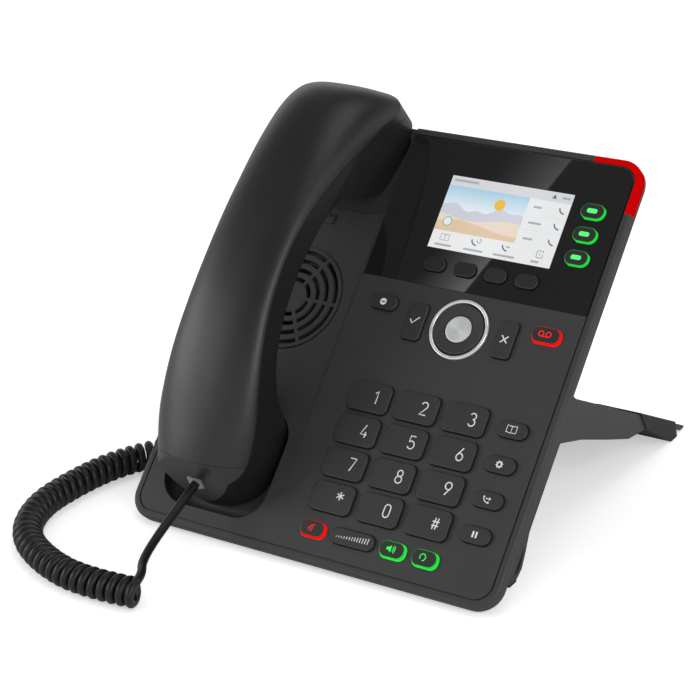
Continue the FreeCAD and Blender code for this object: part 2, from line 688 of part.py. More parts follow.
def stand_feet():
    """Two rubber sleeves on the leg's end and two pads under the front feet."""
    t = LEG_T / math.cos(math.radians(LEG_SLOPE))
    out = []
    core = stand()
    sleeve = [leg_line(151.8, -0.9), leg_line(188.3, -0.9)]
    sleeve += [from_tilted(190.5, DESK_Z), from_tilted(184.0, DESK_Z), from_tilted(157.9, 13.2)]
    for s in (-1, 1):
        xa, xb = sorted((s * (ARM_OUT + 0.8), s * (ARM_OUT - 22.0)))
        out.append(profile(sleeve, xa, xb).cut(core))
        xa, xb = sorted((s * ARM_OUT, s * (ARM_OUT - FOOT_X)))
        pts = [from_tilted(*p) for p in ((29.0, DESK_Z), (35.0, DESK_Z), (35.0, -2.0), (29.0, -2.0))]
        out.append(profile(pts, xa, xb).cut(core))
    return Part.makeCompound([max(s.Solids, key=lambda q: q.Volume) for s in out])


# ---------------------------------------------------------------- handset
# position along the length, half width, crown height
STATIONS = (
    (8.0, 24.6, 21.0), (24.0, 25.4, 28.6), (34.0, 26.0, 32.4), (47.0, 26.2, 36.8), (60.0, 25.0, 41.0),
    (75.0, 23.4, 45.0), (90.0, 21.8, 48.0), (105.0, 20.8, 49.8), (120.0, 20.5, 50.5),
    (135.0, 20.9, 50.3), (150.0, 21.8, 49.2), (165.0, 23.4, 47.6), (180.0, 25.4, 44.8),
    (192.0, 27.2, 41.2), (201.0, 28.4, 36.8), (208.0, 29.0, 31.0), (213.0, 29.2, 23.0),
    (216.5, 29.0, 12.0))
MID_Y = 118.0
# plan outline of the ends: position, half width
LOW_END = ((11.5, 0.0), (13.2, 10.0), (17.5, 17.6), (24.5, 23.4), (33.0, 25.7))
TOP_END = ((201.0, 28.4), (207.5, 28.8), (212.0, 27.2), (214.8, 22.8), (216.2, 14.0), (216.6, 0.0))
DRAFT = 3.2


def along(y):
    """Profile position y, moved with the face's top edge."""
    grow = FACE_L - DRAWN_L
    if y <= MID_Y:
        return y
    if y >= EAR_FROM:
        return y + grow
    return MID_Y + (y - MID_Y) * (EAR_FROM + grow - MID_Y) / (EAR_FROM - MID_Y)


def seam_z(y):
    return SEAM_Z - SEAM_R + math.sqrt(SEAM_R ** 2 - (y - SEAM_Y) ** 2)


def seam_cylinder(r):
    return Part.makeCylinder(r, 90, V(HX - 45, SEAM_Y, SEAM_Z - SEAM_R), V(1, 0, 0))


def crown_section(y, w, top, inset):
    """Closed section: arched back over straight flanks that run below the seam."""
    base = seam_z(y) - 0.4
    low = base - 6.0
    w = w - inset
    top = max(top - inset, base + 1.0)
    y = MID_Y + (y - MID_Y) * (1 - inset / 98.0)
    pts = []
    for k in range(13):
        a = math.pi * (1 - k / 12.0)
        c, s = math.cos(a), math.sin(a)
        x = math.copysign(abs(c) ** (2 / CURVE_N), c)
        pts.append(V(HX + w * x, y, base + (top - base) * abs(s) ** (2 / 2.2)))
    arch = Part.BSplineCurve()
    arch.interpolate(pts)
    a, b = V(HX - w, y, low), V(HX + w, y, low)
    return Part.Wire([arch.toShape(), Part.makeLine(pts[-1], b), Part.makeLine(b, a),
                      Part.makeLine(a, pts[0])])


def crown_solid(inset):
    wires = [crown_section(along(y), w, top, inset) for y, w, top in STATIONS]
    return Part.makeLoft(wires, True, False)


def end_cut(gap):
    """Everything on the mouthpiece side of the back shell's lower edge."""
    pts = ((35.0 - gap, 11.0), (END_TOP[0] - 0.6 - gap, END_TOP[1]), (12.0, 60.0), (-10.0, 60.0),
           (-10.0, -30.0), (35.0 - gap, -30.0))
    return profile(pts, HX - 45, HX + 45)


def plan_wire(draw, z):
    """Plan outline of the handset, drawn in by draw."""
    body = [(y, w) for y, w, top in STATIONS[3:-4]]
    half = [(along(y), w) for y, w in list(LOW_END) + body + list(TOP_END)]
    right = [V(HX + max(w - draw, 0.0), MID_Y + (y - MID_Y) * (1 - draw / 98.0), z) for y, w in half]
    left = [V(2 * HX - p.x, p.y, z) for p in reversed(right[1:-1])]
    loop = Part.BSplineCurve()
    loop.interpolate(Points=right + left, PeriodicFlag=True)
    return Part.Wire([loop.toShape()])


def plan_solid(draw):
    wires = [plan_wire(draw + DRAFT, -12.0), plan_wire(draw, 30.0), plan_wire(draw, 60.0)]
    return Part.makeLoft(wires, True, True)


def handset_back_shell():
    shell = crown_solid(0.0).common(plan_solid(0.0)).cut(seam_cylinder(SEAM_R)).cut(end_cut(0.0))
    inner = crown_solid(SHELL).common(plan_solid(SHELL))
    return shell.cut(inner)


def side_slab(d):
    """Side outline of the lower half, drawn in by d, across the whole width."""
    ends = ((END_LOW[0] + d, END_LOW[1]), (15.5 + d, -5.0 + d), (21.0 + d, MOUTH_Z + d),
            (46.0 - d, MOUTH_Z + d), (53.0 - d, -5.0 + d), (58.0 - d, 2.0 + d))
    grip = ((66.0, 16.0 + d), (78.0, 25.5 + d), (95.0, 30.5 + d), (118.0, 32.2 + d),
            (138.0, 31.2 + d), (152.0, 27.5 + d))
    ear = ((160.0 + d, 21.0 + d), (165.0 + d, 12.0 + d), (169.0 + d, 3.0 + d), (174.5 + d, -2.8 + d),
           (181.0, EAR_Z + d), (198.0 - d, EAR_Z + d), (203.5 - d, -1.2 + d), (211.0 - d, -0.5 + d),
           (215.6 - d, 5.5), (217.3 - d, 18.0))
    ear = tuple((along(y), z) for y, z in ear)
    grip = tuple((along(y), z) for y, z in grip)
    x = HX - 45
    pts = [V(x, END_TOP[0] + d, END_TOP[1])] + [V(x, y, z) for y, z in ends[:1]]
    under = Part.BSplineCurve()
    under.interpolate([V(x, y, z) for y, z in ends + grip + ear])
    close = [V(x, *ear[-1]), V(x, ear[-1][0], 60), V(x, END_TOP[0] + d, 60), pts[0]]
    lines = [Part.makeLine(a, b) for a, b in zip(close, close[1:])]
    wire = Part.Wire([Part.makeLine(pts[0], pts[1]), under.toShape()] + lines)
    slab = Part.Face(wire).extrude(V(90, 0, 0))
    slab = slab.cut(box(x - 1, x + 91, -10, 100, -30, MOUTH_Z + d))
    return slab.cut(box(x - 1, x + 91, 100, 230, -30, EAR_Z + d))


def jack_frame(shape):
    """Moves a shape from the jack's own frame (mouth at y = 0, facing -y) into the handset."""
    (y1, z1), (y0, z0) = END_TOP, END_LOW
    out = shape.copy()
    out.rotate(V(0, 0, 0), V(1, 0, 0), -math.degrees(math.atan2(y1 - y0, z1 - z0)))
    out.translate(V(HX, y0 + (y1 - y0) * JACK_AT, z0 + (z1 - z0) * JACK_AT))
    return out


def laid(shape):
    """A piece of the handset turned about its jack to lie as it does in the cups."""
    out = shape.copy()
    out.rotate(V(HX, (END_LOW[0] + END_TOP[0]) / 2, 0), V(0, 0, 1), -HANDSET_TURN)
    return out


def handset_front_shell():
    whole = side_slab(0.0).common(plan_solid(0.0))
    under = seam_cylinder(SEAM_R - SEAM_GAP)
    body = whole.common(under)
    body = body.fuse(whole.common(end_cut(SEAM_GAP)).common(crown_solid(0.0)))
    inner = side_slab(SHELL).common(plan_solid(SHELL)).common(under)
    keep = box(HX - 9, HX + 9, 0, 32, -3, 40)
    body = body.cut(inner.cut(keep))
    w, h, deep = HJACK_SIZE
    f = FIT
    body = body.cut(jack_frame(box(-w / 2 - f, w / 2 + f, -5, deep + f, -h / 2 - f, h / 2 + f)))
    for k in range(3):
        hole = pad(HX, MIC_Y + 3.4 * (k - 1), 8.0, 1.5, 0.7, -12, -4)
        body = body.cut(hole)
    for r, n in ((0.0, 1), (4.2, 6), (8.2, 12)):
        for k in range(n):
            a = 2 * math.pi * k / n
            body = body.cut(disc(HX + r * math.cos(a), EAR_Y + r * math.sin(a), 0.9, -8, -1))
    return body.fuse(tube(HX, EAR_Y, 9.0, EAR_R, EAR_Z + 0.1, EAR_SEAT))


def earpiece_receiver():
    z = EAR_SEAT
    return fuse_all([disc(HX, EAR_Y, EAR_R, z, z + 3.0), disc(HX, EAR_Y, 8.0, z + 3.0, z + 6.5)])


def handset_microphone():
    z = MOUTH_Z + SHELL
    return fuse_all([disc(HX, MIC_Y, 5.2, z, z + 2.0), disc(HX, MIC_Y, 4.0, z + 2.0, z + 5.0)])


def handset_jack():
    w, h, deep = HJACK_SIZE
    mw, mh = HJACK_MOUTH
    body = box(-w / 2, w / 2, 0, deep, -h / 2, h / 2)
    body = body.cut(box(-mw / 2, mw / 2, -1, deep - 1.2, -mh / 2, mh / 2))
    return jack_frame(body)


def plug():
    """Modular plug in its own frame: outer end at y = -PLUG_OUT, latch on the low side."""
    w, h, deep = PLUG_SIZE
    body = box(-w / 2, w / 2, -PLUG_OUT, deep - PLUG_OUT, -h / 2 + 0.9, h / 2)
    latch = box(-1.6, 1.6, -PLUG_OUT, deep - 4.0, -h / 2, -h / 2 + 1.0)
    contacts = [box(x - 0.2, x + 0.2, deep - PLUG_OUT - 3.4, deep - PLUG_OUT - 0.6, h / 2 - 1.0, h / 2)
                for x in (-1.9, -0.65, 0.65, 1.9)]
    return body.fuse(latch).cut(Part.makeCompound(contacts))


def handset_plug():
    return jack_frame(plug())


def base_plug():
    out = plug()
    out.translate(V(RJ9_X[0], BAY[3], BOARD_TOP - BOARD_T - RJ9_SIZE[1] / 2))
    return out


# ---------------------------------------------------------------- cord
def tube_along(points, r):
    """Tube of straight runs joined by tangent arcs; points are in the tilted frame."""
    pts = [V(*p) for p in points]
    edges = []
    start = pts[0]
    for a, b, c in zip(pts, pts[1:], pts[2:]):
        u = (b - a).normalize()
        v = (c - b).normalize()
        turn = u.getAngle(v)
        cut = 0.45 * min(a.distanceToPoint(b), b.distanceToPoint(c))
        bend = cut / math.tan(turn / 2)
        print("bend radius", round(bend, 1))
        first, last = b - u * cut, b + v * cut
        inward = (v - u).normalize()
        mid = b + inward * (bend / math.cos(turn / 2) - bend)
        edges.append(Part.makeLine(start, first))
        edges.append(Part.Arc(first, mid, last).toShape())
        start = last
    edges.append(Part.makeLine(start, pts[-1]))
    path = Part.Wire(edges)
    ring = Part.Wire([Part.makeCircle(r, pts[0], pts[1] - pts[0])])
    out = path.makePipeShell([ring], True, True)
    print("length", round(path.Length, 1), "volume ratio",
          round(out.Volume / (math.pi * r * r * path.Length), 4))
    out.rotate(V(0, 0, 0), V(1, 0, 0), -TILT)
    return out


def in_tilted(y, z):
    a = math.radians(TILT)
    return (y * math.cos(a) - z * math.sin(a), y * math.sin(a) + z * math.cos(a))


def exit_run(outer, inner, length):
    """First run of a cord: from a plug's outer end straight on along the plug's axis."""
    along = (outer - inner).normalize() * length
    return [(p.x,) + in_tilted(p.y, p.z) for p in (outer, outer + along)]


def cord_lead():
    outer, inner = [laid(jack_frame(Part.Vertex(0, y, 0))).Point for y in (-PLUG_OUT, 0)]
    return tube_along(exit_run(outer, inner, LEAD_EXIT) + list(LEAD_ROUTE), CORD_R)


def cord_coil():
    return tube_along([(x, y, COIL_H) for x, y in COIL_ROUTE], COIL_R)


def cord_tail():
    x, y = COIL_ROUTE[-1]
    z = BOARD_TOP - BOARD_T - RJ9_SIZE[1] / 2
    outer, inner = [V(RJ9_X[0], BAY[3] - d, z) for d in (PLUG_OUT, 0)]
    run = exit_run(outer, inner, TAIL_EXIT)
    return tube_along(run + list(TAIL_ROUTE) + [(x, y, COIL_H)], CORD_R)


# ---------------------------------------------------------------- output
def tilted(shape):
    out = shape.copy()
    out.rotate(V(0, 0, 0), V(1, 0, 0), TILT)
    return out


def all_nodes():
    nodes = {}
    for name, x, y, size in key_table():
        nodes[name] = push_key(x, y, size, SEAT)
    name, x, y, size = ROCKER
    nodes[name] = push_key(x, y, size, ROCKER_DROP)
    handset = (handset_back_shell, handset_front_shell, earpiece_receiver, handset_microphone,
               handset_jack, handset_plug)
    for make in handset:
        nodes[make.__name__] = laid(make())
    makers = (nav_pivot, nav_ring, nav_chrome_ring, nav_centre_button, front_housing, rear_housing,
              display_window, lcd_module, call_light, main_board, keypad_mat, loudspeaker,
              hook_switch, hang_tab, line_jacks, power_jack, housing_screws,
              stand, stand_feet, base_plug, cord_lead, cord_coil, cord_tail)
    for make in makers:
        nodes[make.__name__] = make()
    return nodes


def main():
    os.makedirs("parts", exist_ok=True)
    nodes = {n: tilted(s) for n, s in all_nodes().items()}
    still = [s for n, s in nodes.items() if not n.startswith("cord_")]
    box_all = Part.makeCompound(still).optimalBoundingBox(False, False)
    shift = V(-box_all.Center.x, -box_all.Center.y, -box_all.ZMin)
    for name, shape in nodes.items():
        shape.translate(shift)
        shape.exportStep("parts/%s.step" % name)
        print(name, len(shape.Solids), round(shape.Volume, 1), shape.isValid())
    print("shift", shift, "size", box_all)


main()
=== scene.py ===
# Desk IP phone: finishes, printed marks, display picture, cord, lights and camera round the
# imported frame.  Most positions are millimetres of the phone's face frame (X right, Y up the
# face, Z out of it), which face() turns into metres of the row frame.
import math

import bpy
from mathutils import Matrix, Vector


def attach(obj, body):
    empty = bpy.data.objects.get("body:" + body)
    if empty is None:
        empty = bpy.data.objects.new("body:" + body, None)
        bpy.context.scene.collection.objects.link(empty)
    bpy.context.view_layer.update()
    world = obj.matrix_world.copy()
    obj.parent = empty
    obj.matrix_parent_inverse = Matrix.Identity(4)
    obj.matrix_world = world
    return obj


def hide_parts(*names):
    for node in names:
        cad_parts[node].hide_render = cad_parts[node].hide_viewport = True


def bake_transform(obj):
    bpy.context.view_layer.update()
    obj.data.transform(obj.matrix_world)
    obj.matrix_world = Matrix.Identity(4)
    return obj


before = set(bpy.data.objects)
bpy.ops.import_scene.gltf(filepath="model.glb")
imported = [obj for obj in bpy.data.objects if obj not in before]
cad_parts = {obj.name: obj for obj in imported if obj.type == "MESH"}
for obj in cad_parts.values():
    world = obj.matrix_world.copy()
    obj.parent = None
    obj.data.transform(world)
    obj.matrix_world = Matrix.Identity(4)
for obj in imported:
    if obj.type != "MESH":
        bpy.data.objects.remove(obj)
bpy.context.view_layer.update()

MM = 0.001
TILT = math.radians(46.0)
SHIFT = Vector((0.0, -97.7665, 4.75))
TURN = Matrix.Rotation(TILT, 3, "X")


def face(x, y, z=0.0):
    """Face-frame millimetres to row-frame metres."""
    return (TURN @ Vector((x, y, z)) + SHIFT) * MM


def tilted(x, y, z):
    """Desk-level millimetres, as the cord's route is given, to row-frame metres."""
    return (Vector((x, y, z)) + SHIFT) * MM


FACE_MATRIX = Matrix.Translation(SHIFT * MM) @ TURN.to_4x4() @ Matrix.Scale(MM, 4)
FACE_NORMAL = (0.0, -math.sin(TILT), math.cos(TILT))
FACE_UP = (0.0, math.cos(TILT), math.sin(TILT))


def linear(hex_colour):
    """'#rrggbb' as a linear RGBA tuple."""
    out = []
    for k in (1, 3, 5):
        c = int(hex_colour[k:k + 2], 16) / 255.0
        out.append(c / 12.92 if c <= 0.04045 else ((c + 0.055) / 1.055) ** 2.4)
    return tuple(out) + (1.0,)


# ---------------------------------------------------------------- materials
def new_material(name):
    mat = bpy.data.materials.new(name)
    mat.use_nodes = True
    nodes = mat.node_tree.nodes
    return mat, nodes, mat.node_tree.links, nodes["Principled BSDF"]


def noise(nodes, links, coords, scale, detail=3.0):
    tex = nodes.new("ShaderNodeTexNoise")
    tex.inputs["Scale"].default_value = scale
    tex.inputs["Detail"].default_value = detail
    tex.inputs["Roughness"].default_value = 0.5
    links.new(coords, tex.inputs["Vector"])
    return tex.outputs["Fac"]


def ramp(nodes, links, value, start, stop, low=0.0, high=1.0):
    """Carries a socket's value from start..stop to low..high, held at both ends."""
    node = nodes.new("ShaderNodeMapRange")
    node.inputs["From Min"].default_value = start
    node.inputs["From Max"].default_value = stop
    node.inputs["To Min"].default_value = low
    node.inputs["To Max"].default_value = high
    links.new(value, node.inputs["Value"])
    return node


NOISE_SPAN = (0.3, 0.7)     # most of a noise texture's values lie in here


def map_range(nodes, links, value, low, high):
    """Spreads a noise value between low and high."""
    return ramp(nodes, links, value, *NOISE_SPAN, low, high).outputs["Result"]


def combine(nodes, links, operation, a, b):
    """Math node on sockets or numbers."""
    node = nodes.new("ShaderNodeMath")
    node.operation = operation
    for value, socket in ((a, node.inputs[0]), (b, node.inputs[1])):
        if isinstance(value, (int, float)):
            socket.default_value = value
        else:
            links.new(value, socket)
    return node.outputs["Value"]


def added(nodes, links, a, b):
    """Sum of two shaders."""
    node = nodes.new("ShaderNodeAddShader")
    links.new(a, node.inputs[0])
    links.new(b, node.inputs[1])
    return node.outputs["Shader"]


def dot_product(nodes, links, vector, direction):
    node = nodes.new("ShaderNodeVectorMath")
    node.operation = "DOT_PRODUCT"
    node.inputs[1].default_value = direction
    links.new(vector, node.inputs[0])
    return node.outputs["Value"]


def mix_colour(nodes, links, factor, a, b):
    """a and b are colours or sockets."""
    node = nodes.new("ShaderNodeMix")
    node.data_type = "RGBA"
    links.new(factor, node.inputs["Factor"])
    for value, socket in ((a, node.inputs["A"]), (b, node.inputs["B"])):
        if isinstance(value, tuple):
            socket.default_value = value
        else:
            links.new(value, socket)
    return node.outputs["Result"]


def shade(colour, factor):
    """A colour made darker or lighter."""
    return tuple(min(1.0, c * factor) for c in colour[:3]) + (1.0,)


def plastic(name, hex_colour, rough, grain=2600.0, bump=0.06, spread=0.12, specular=0.5,
            uneven=0.05):
    """Moulded plastic with a fine spark-eroded grain and slight cloudiness."""
    mat, nodes, links, shader = new_material(name)
    coords = nodes.new("ShaderNodeTexCoord").outputs["Object"]
    colour = linear(hex_colour)
    cloud = noise(nodes, links, coords, 60.0, 4.0)
    base = mix_colour(nodes, links, cloud, shade(colour, 1 - spread), shade(colour, 1 + spread))
    links.new(base, shader.inputs["Base Color"])
    fine = noise(nodes, links, coords, grain, 2.0)
    roughness = map_range(nodes, links, fine, rough - uneven, rough + uneven)
    links.new(roughness, shader.inputs["Roughness"])
    lift = nodes.new("ShaderNodeBump")
    lift.inputs["Strength"].default_value = bump
    lift.inputs["Distance"].default_value = 0.0001
    links.new(fine, lift.inputs["Height"])
    links.new(lift.outputs["Normal"], shader.inputs["Normal"])
    shader.inputs["Specular IOR Level"].default_value = specular
    return mat


def metal(name, hex_colour, rough, grain=900.0, metallic=1.0):
    """Plated or bare metal with faint uneven polish."""
    mat, nodes, links, shader = new_material(name)
    coords = nodes.new("ShaderNodeTexCoord").outputs["Object"]
    colour = linear(hex_colour)
    cloud = noise(nodes, links, coords, grain, 3.0)
    base = mix_colour(nodes, links, cloud, shade(colour, 0.93), shade(colour, 1.05))
    links.new(base, shader.inputs["Base Color"])
    links.new(map_range(nodes, links, cloud, rough * 0.8, rough * 1.25), shader.inputs["Roughness"])
    shader.inputs["Metallic"].default_value = metallic
    return mat


def brushed(name, hex_colour):
    """Turned metal: fine rings of roughness round the piece's own Z axis."""
    mat, nodes, links, shader = new_material(name)
    coords = nodes.new("ShaderNodeTexCoord").outputs["Object"]
    colour = linear(hex_colour)
    rings = nodes.new("ShaderNodeTexWave")
    rings.wave_type = "RINGS"
    rings.rings_direction = "Z"
    rings.inputs["Scale"].default_value = 2.2
    rings.inputs["Distortion"].default_value = 1.5
    rings.inputs["Detail"].default_value = 3.0
    links.new(coords, rings.inputs["Vector"])
    base = mix_colour(nodes, links, rings.outputs["Fac"], shade(colour, 0.9), shade(colour, 1.0))
    links.new(base, shader.inputs["Base Color"])
    links.new(map_range(nodes, links, rings.outputs["Fac"], 0.3, 0.4), shader.inputs["Roughness"])
    tangent = nodes.new("ShaderNodeTangent")
    tangent.direction_type = "RADIAL"
    tangent.axis = "Z"
    links.new(tangent.outputs["Tangent"], shader.inputs["Tangent"])
    shader.inputs["Metallic"].default_value = 0.55
    shader.inputs["Anisotropic"].default_value = 0.75
    return mat


def lit(name, hex_colour, strength, grain=500.0):
    """Diffusing plastic lit from behind, slightly uneven."""
    mat, nodes, links, shader = new_material(name)
    coords = nodes.new("ShaderNodeTexCoord").outputs["Object"]
    colour = linear(hex_colour)
    cloud = noise(nodes, links, coords, grain, 3.0)
    base = mix_colour(nodes, links, cloud, shade(colour, 0.85), shade(colour, 1.1))
    links.new(base, shader.inputs["Base Color"])
    links.new(base, shader.inputs["Emission Color"])
    shader.inputs["Emission Strength"].default_value = strength
    shader.inputs["Roughness"].default_value = 0.35
    shader.inputs["Specular IOR Level"].default_value = 0.0
    return mat


SKIRT_FACING = (0.84, 0.75)     # cosine to the face at which the dark top gives way to the glow


def lit_key(name, body_hex, glow_hex, strength):
    """Key with a dark painted top over a glowing translucent skirt."""
    mat = plastic(name, body_hex, 0.5)
    nodes = mat.node_tree.nodes
    links = mat.node_tree.links
    shader = nodes["Principled BSDF"]
    coords = nodes.new("ShaderNodeTexCoord")
    facing = dot_product(nodes, links, coords.outputs["Normal"], FACE_NORMAL)
    skirt = ramp(nodes, links, facing, *SKIRT_FACING)
    glow = linear(glow_hex)
    uneven = noise(nodes, links, coords.outputs["Object"], 700.0)
    glow_colour = mix_colour(nodes, links, uneven, shade(glow, 0.85), shade(glow, 1.1))
    emission = nodes.new("ShaderNodeEmission")
    emission.inputs["Strength"].default_value = strength
    links.new(glow_colour, emission.inputs["Color"])
    blend = nodes.new("ShaderNodeMixShader")
    links.new(skirt.outputs["Result"], blend.inputs["Fac"])
    links.new(shader.outputs["BSDF"], blend.inputs[1])
    links.new(emission.outputs["Emission"], blend.inputs[2])
    links.new(blend.outputs["Shader"], nodes["Material Output"].inputs["Surface"])
    return mat


def clear(name):
    """Clear moulded plastic of the modular plugs."""
    mat, nodes, links, shader = new_material(name)
    coords = nodes.new("ShaderNodeTexCoord").outputs["Object"]
    fine = noise(nodes, links, coords, 1500.0)
    base = mix_colour(nodes, links, fine, linear("#c9cdd0"), linear("#f2f4f5"))
    links.new(base, shader.inputs["Base Color"])
    links.new(map_range(nodes, links, fine, 0.08, 0.16), shader.inputs["Roughness"])
    shader.inputs["Transmission Weight"].default_value = 0.75
    shader.inputs["IOR"].default_value = 1.5
    return mat


MATERIALS = {
    "charcoal_shell": plastic("charcoal_shell", "#2c2c2c", 0.55),
    "handset_shell": plastic("handset_shell", "#181819", 0.4, bump=0.04, specular=0.45),
    "key_plastic": plastic("key_plastic", "#252525", 0.5, bump=0.04),
    "soft_key": plastic("soft_key", "#191919", 0.45, bump=0.03),
    "lit_key_green": lit_key("lit_key_green", "#1c1c1c", "#20e040", 1.0),
    "lit_key_red": lit_key("lit_key_red", "#1c1c1c", "#f01410", 1.0),
    "window_gloss": plastic("window_gloss", "#1a1a1b", 0.015, grain=300.0, bump=0.0,
                            uneven=0.005),
    "call_light_red": lit("call_light_red", "#a80204", 0.5),
    "chrome": metal("chrome", "#f2f3f4", 0.18, metallic=0.6),
    "brushed_disc": metal("disc_metal", "#c9cbcc", 0.35),
    "board_green": plastic("board_green", "#1d4a2e", 0.45),
    "silicone_mat": plastic("silicone_mat", "#9a9a98", 0.6),
    "speaker_parts": plastic("speaker_parts", "#232323", 0.6),
    "jack_shell": plastic("jack_shell", "#191919", 0.4),
    "screw_steel": metal("screw_steel", "#8d8f92", 0.35),
    "foot_rubber": plastic("foot_rubber", "#1c1c1d", 0.75, bump=0.1),
    "clear_plug": clear("clear_plug"),
    "cord_black": plastic("cord_black", "#111112", 0.42, grain=1800.0, bump=0.05,
                          specular=0.35),
    "screen": plastic("screen_glass", "#0e0e0f", 0.15, grain=300.0, bump=0.0),
}
CHARCOAL = ("front_housing", "rear_housing", "stand", "hang_tab", "hook_switch", "nav_ring")
HANDSET = ("handset_back_shell", "handset_front_shell")
FUNCTION_KEYS = ("function_key_1", "function_key_2", "function_key_3")
AUDIO_KEYS = ("speaker_key", "headset_key")
LIT_RED = ("mute_key", "retrieve_key")
NODE_FINISH = {
    "display_window": "window_gloss", "lcd_module": "screen", "call_light": "call_light_red",
    "main_board": "board_green", "keypad_mat": "silicone_mat", "loudspeaker": "speaker_parts",
    "line_jacks": "jack_shell", "power_jack": "jack_shell", "housing_screws": "screw_steel",
    "nav_chrome_ring": "chrome", "nav_centre_button": "brushed_disc", "nav_pivot": "key_plastic",
    "stand_feet": "foot_rubber", "handset_jack": "jack_shell", "earpiece_receiver": "speaker_parts",
    "handset_microphone": "speaker_parts", "handset_plug": "clear_plug", "base_plug": "clear_plug",
    "volume_rocker": "key_plastic", "cord_lead": "cord_black", "cord_coil": "cord_black",
    "cord_tail": "cord_black",
}
NODE_FINISH.update({name: "charcoal_shell" for name in CHARCOAL})
NODE_FINISH.update({name: "handset_shell" for name in HANDSET})
NODE_FINISH.update({"soft_key_%d" % (k + 1): "soft_key" for k in range(4)})
NODE_FINISH.update({name: "lit_key_green" for name in FUNCTION_KEYS + AUDIO_KEYS})
NODE_FINISH.update({name: "lit_key_red" for name in LIT_RED})


def finish_nodes():
    """Gives every CAD node its procedural material."""
    for name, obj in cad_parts.items():
        mat = MATERIALS[NODE_FINISH.get(name, "key_plastic")]
        if not obj.material_slots:
            obj.data.materials.append(mat)
        for slot in obj.material_slots:
            slot.material = mat


# ---------------------------------------------------------------- flat marks
def arc(cx, cy, rx, ry, start, stop, count=12):
    """Points of an elliptic arc, angles in degrees."""
    out = []
    for k in range(count + 1):
        a = math.radians(start + (stop - start) * k / count)
        out.append((cx + rx * math.cos(a), cy + ry * math.sin(a)))
    return out


def place(strokes, x, y, scale=1.0):
    """Strokes drawn round the origin, set at a point."""
    return [[(x + scale * px, y + scale * py) for px, py in s] for s in strokes]


def stroke_piece(name, strokes, width, z, mat, body, thick=0.08):
    """Flat printed lines, drawn as round-ended strokes in the face frame."""
    curve = bpy.data.curves.new(name, "CURVE")
    curve.dimensions = "3D"
    curve.bevel_depth = width / 2
    curve.bevel_resolution = 2
    curve.use_fill_caps = True
    for points in strokes:
        spline = curve.splines.new("POLY")
        spline.points.add(len(points) - 1)
        for p, (x, y) in zip(spline.points, points):
            p.co = (x, y, 0.0, 1.0)
    source = bpy.data.objects.new(name + "_line", curve)
    bpy.context.collection.objects.link(source)
    bpy.context.view_layer.update()
    mesh = bpy.data.meshes.new_from_object(source)
    bpy.data.objects.remove(source)
    flatten = Matrix.Translation((0, 0, z)) @ Matrix.Diagonal((1, 1, thick / width, 1))
    mesh.transform(FACE_MATRIX @ flatten)
    return add_piece(name, mesh, mat, body)


def plate_piece(name, outlines, z, mat, body):
    """Thin flat shapes, each a closed outline in the face frame."""
    verts = []
    faces = []
    for outline in outlines:
        faces.append(list(range(len(verts), len(verts) + len(outline))))
        verts += [FACE_MATRIX @ Vector((x, y, z)) for x, y in outline]
    mesh = bpy.data.meshes.new(name)
    mesh.from_pydata(verts, [], faces)
    return add_piece(name, mesh, mat, body)


def add_piece(name, mesh, mat, body):
    """Links a mesh as a visible piece that rides a body."""
    obj = bpy.data.objects.new(name, mesh)
    mesh.materials.clear()
    mesh.materials.append(mat)
    bpy.context.collection.objects.link(obj)
    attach(obj, body)
    return obj


def rounded(cx, cy, w, h, r, count=5):
    """Closed outline of a rounded rectangle."""
    out = []
    for sx, sy, start in ((1, 1, 0), (-1, 1, 90), (-1, -1, 180), (1, -1, 270)):
        out += arc(cx + sx * (w / 2 - r), cy + sy * (h / 2 - r), r, r, start, start + 90, count)
    return out


# digits in a box one unit high
DIGITS = {
    "1": [[(0.10, 0.80), (0.33, 1.0), (0.33, 0.0)]],
    "2": [arc(0.29, 0.73, 0.26, 0.27, 165, -38) + [(0.03, 0.0), (0.57, 0.0)]],
    "3": [arc(0.28, 0.76, 0.24, 0.24, 155, -80), arc(0.28, 0.27, 0.27, 0.27, 85, -155)],
    "4": [[(0.36, 1.0), (0.03, 0.24), (0.58, 0.24)], [(0.43, 0.48), (0.43, 0.0)]],
    "5": [[(0.52, 1.0), (0.10, 1.0), (0.07, 0.54)] + arc(0.29, 0.31, 0.27, 0.31, 128, -152)],
    "6": [arc(0.29, 0.28, 0.26, 0.28, 0, 360, 20), [(0.44, 1.0), (0.07, 0.42)]],
    "7": [[(0.03, 1.0), (0.56, 1.0), (0.20, 0.0)]],
    "8": [arc(0.29, 0.76, 0.22, 0.24, 0, 360, 18), arc(0.29, 0.27, 0.27, 0.27, 0, 360, 20)],
    "9": [arc(0.29, 0.72, 0.26, 0.28, 0, 360, 20), [(0.14, 0.0), (0.51, 0.58)]],
    "0": [arc(0.29, 0.73, 0.25, 0.27, 0, 180) + arc(0.29, 0.27, 0.25, 0.27, 180, 360)
          + [(0.54, 0.73)]],
    "star": [[(0.29, 0.36), (0.29, 1.02)], [(0.0, 0.53), (0.58, 0.85)],
             [(0.0, 0.85), (0.58, 0.53)]],
    "hash": [[(0.13, 0.06), (0.23, 0.94)], [(0.37, 0.06), (0.47, 0.94)],
             [(0.02, 0.65), (0.58, 0.65)], [(0.02, 0.34), (0.58, 0.34)]],
}
DIAL_X = (5.2, 29.3, 53.4)
DIAL_Y = (77.4, 61.55, 45.7, 29.9)
DIAL_ROWS = ("123", "456", "789", ("star", "0", "hash"))
DIGIT_AT = (2.1, -2.6)      # lower left corner of a digit from its key's centre
DIGIT_H = 5.8
DIGIT_W = 0.58              # width of its line
DIAL_TOP = 1.7              # heights of the key tops over the face
KEY_TOP = 1.5
OVER = 0.03                 # a flat mark lies this far above a top
SIDE_X = 76.2
TICK = [(11.0, 116.2), (12.3, 114.4), (15.3, 117.7)]
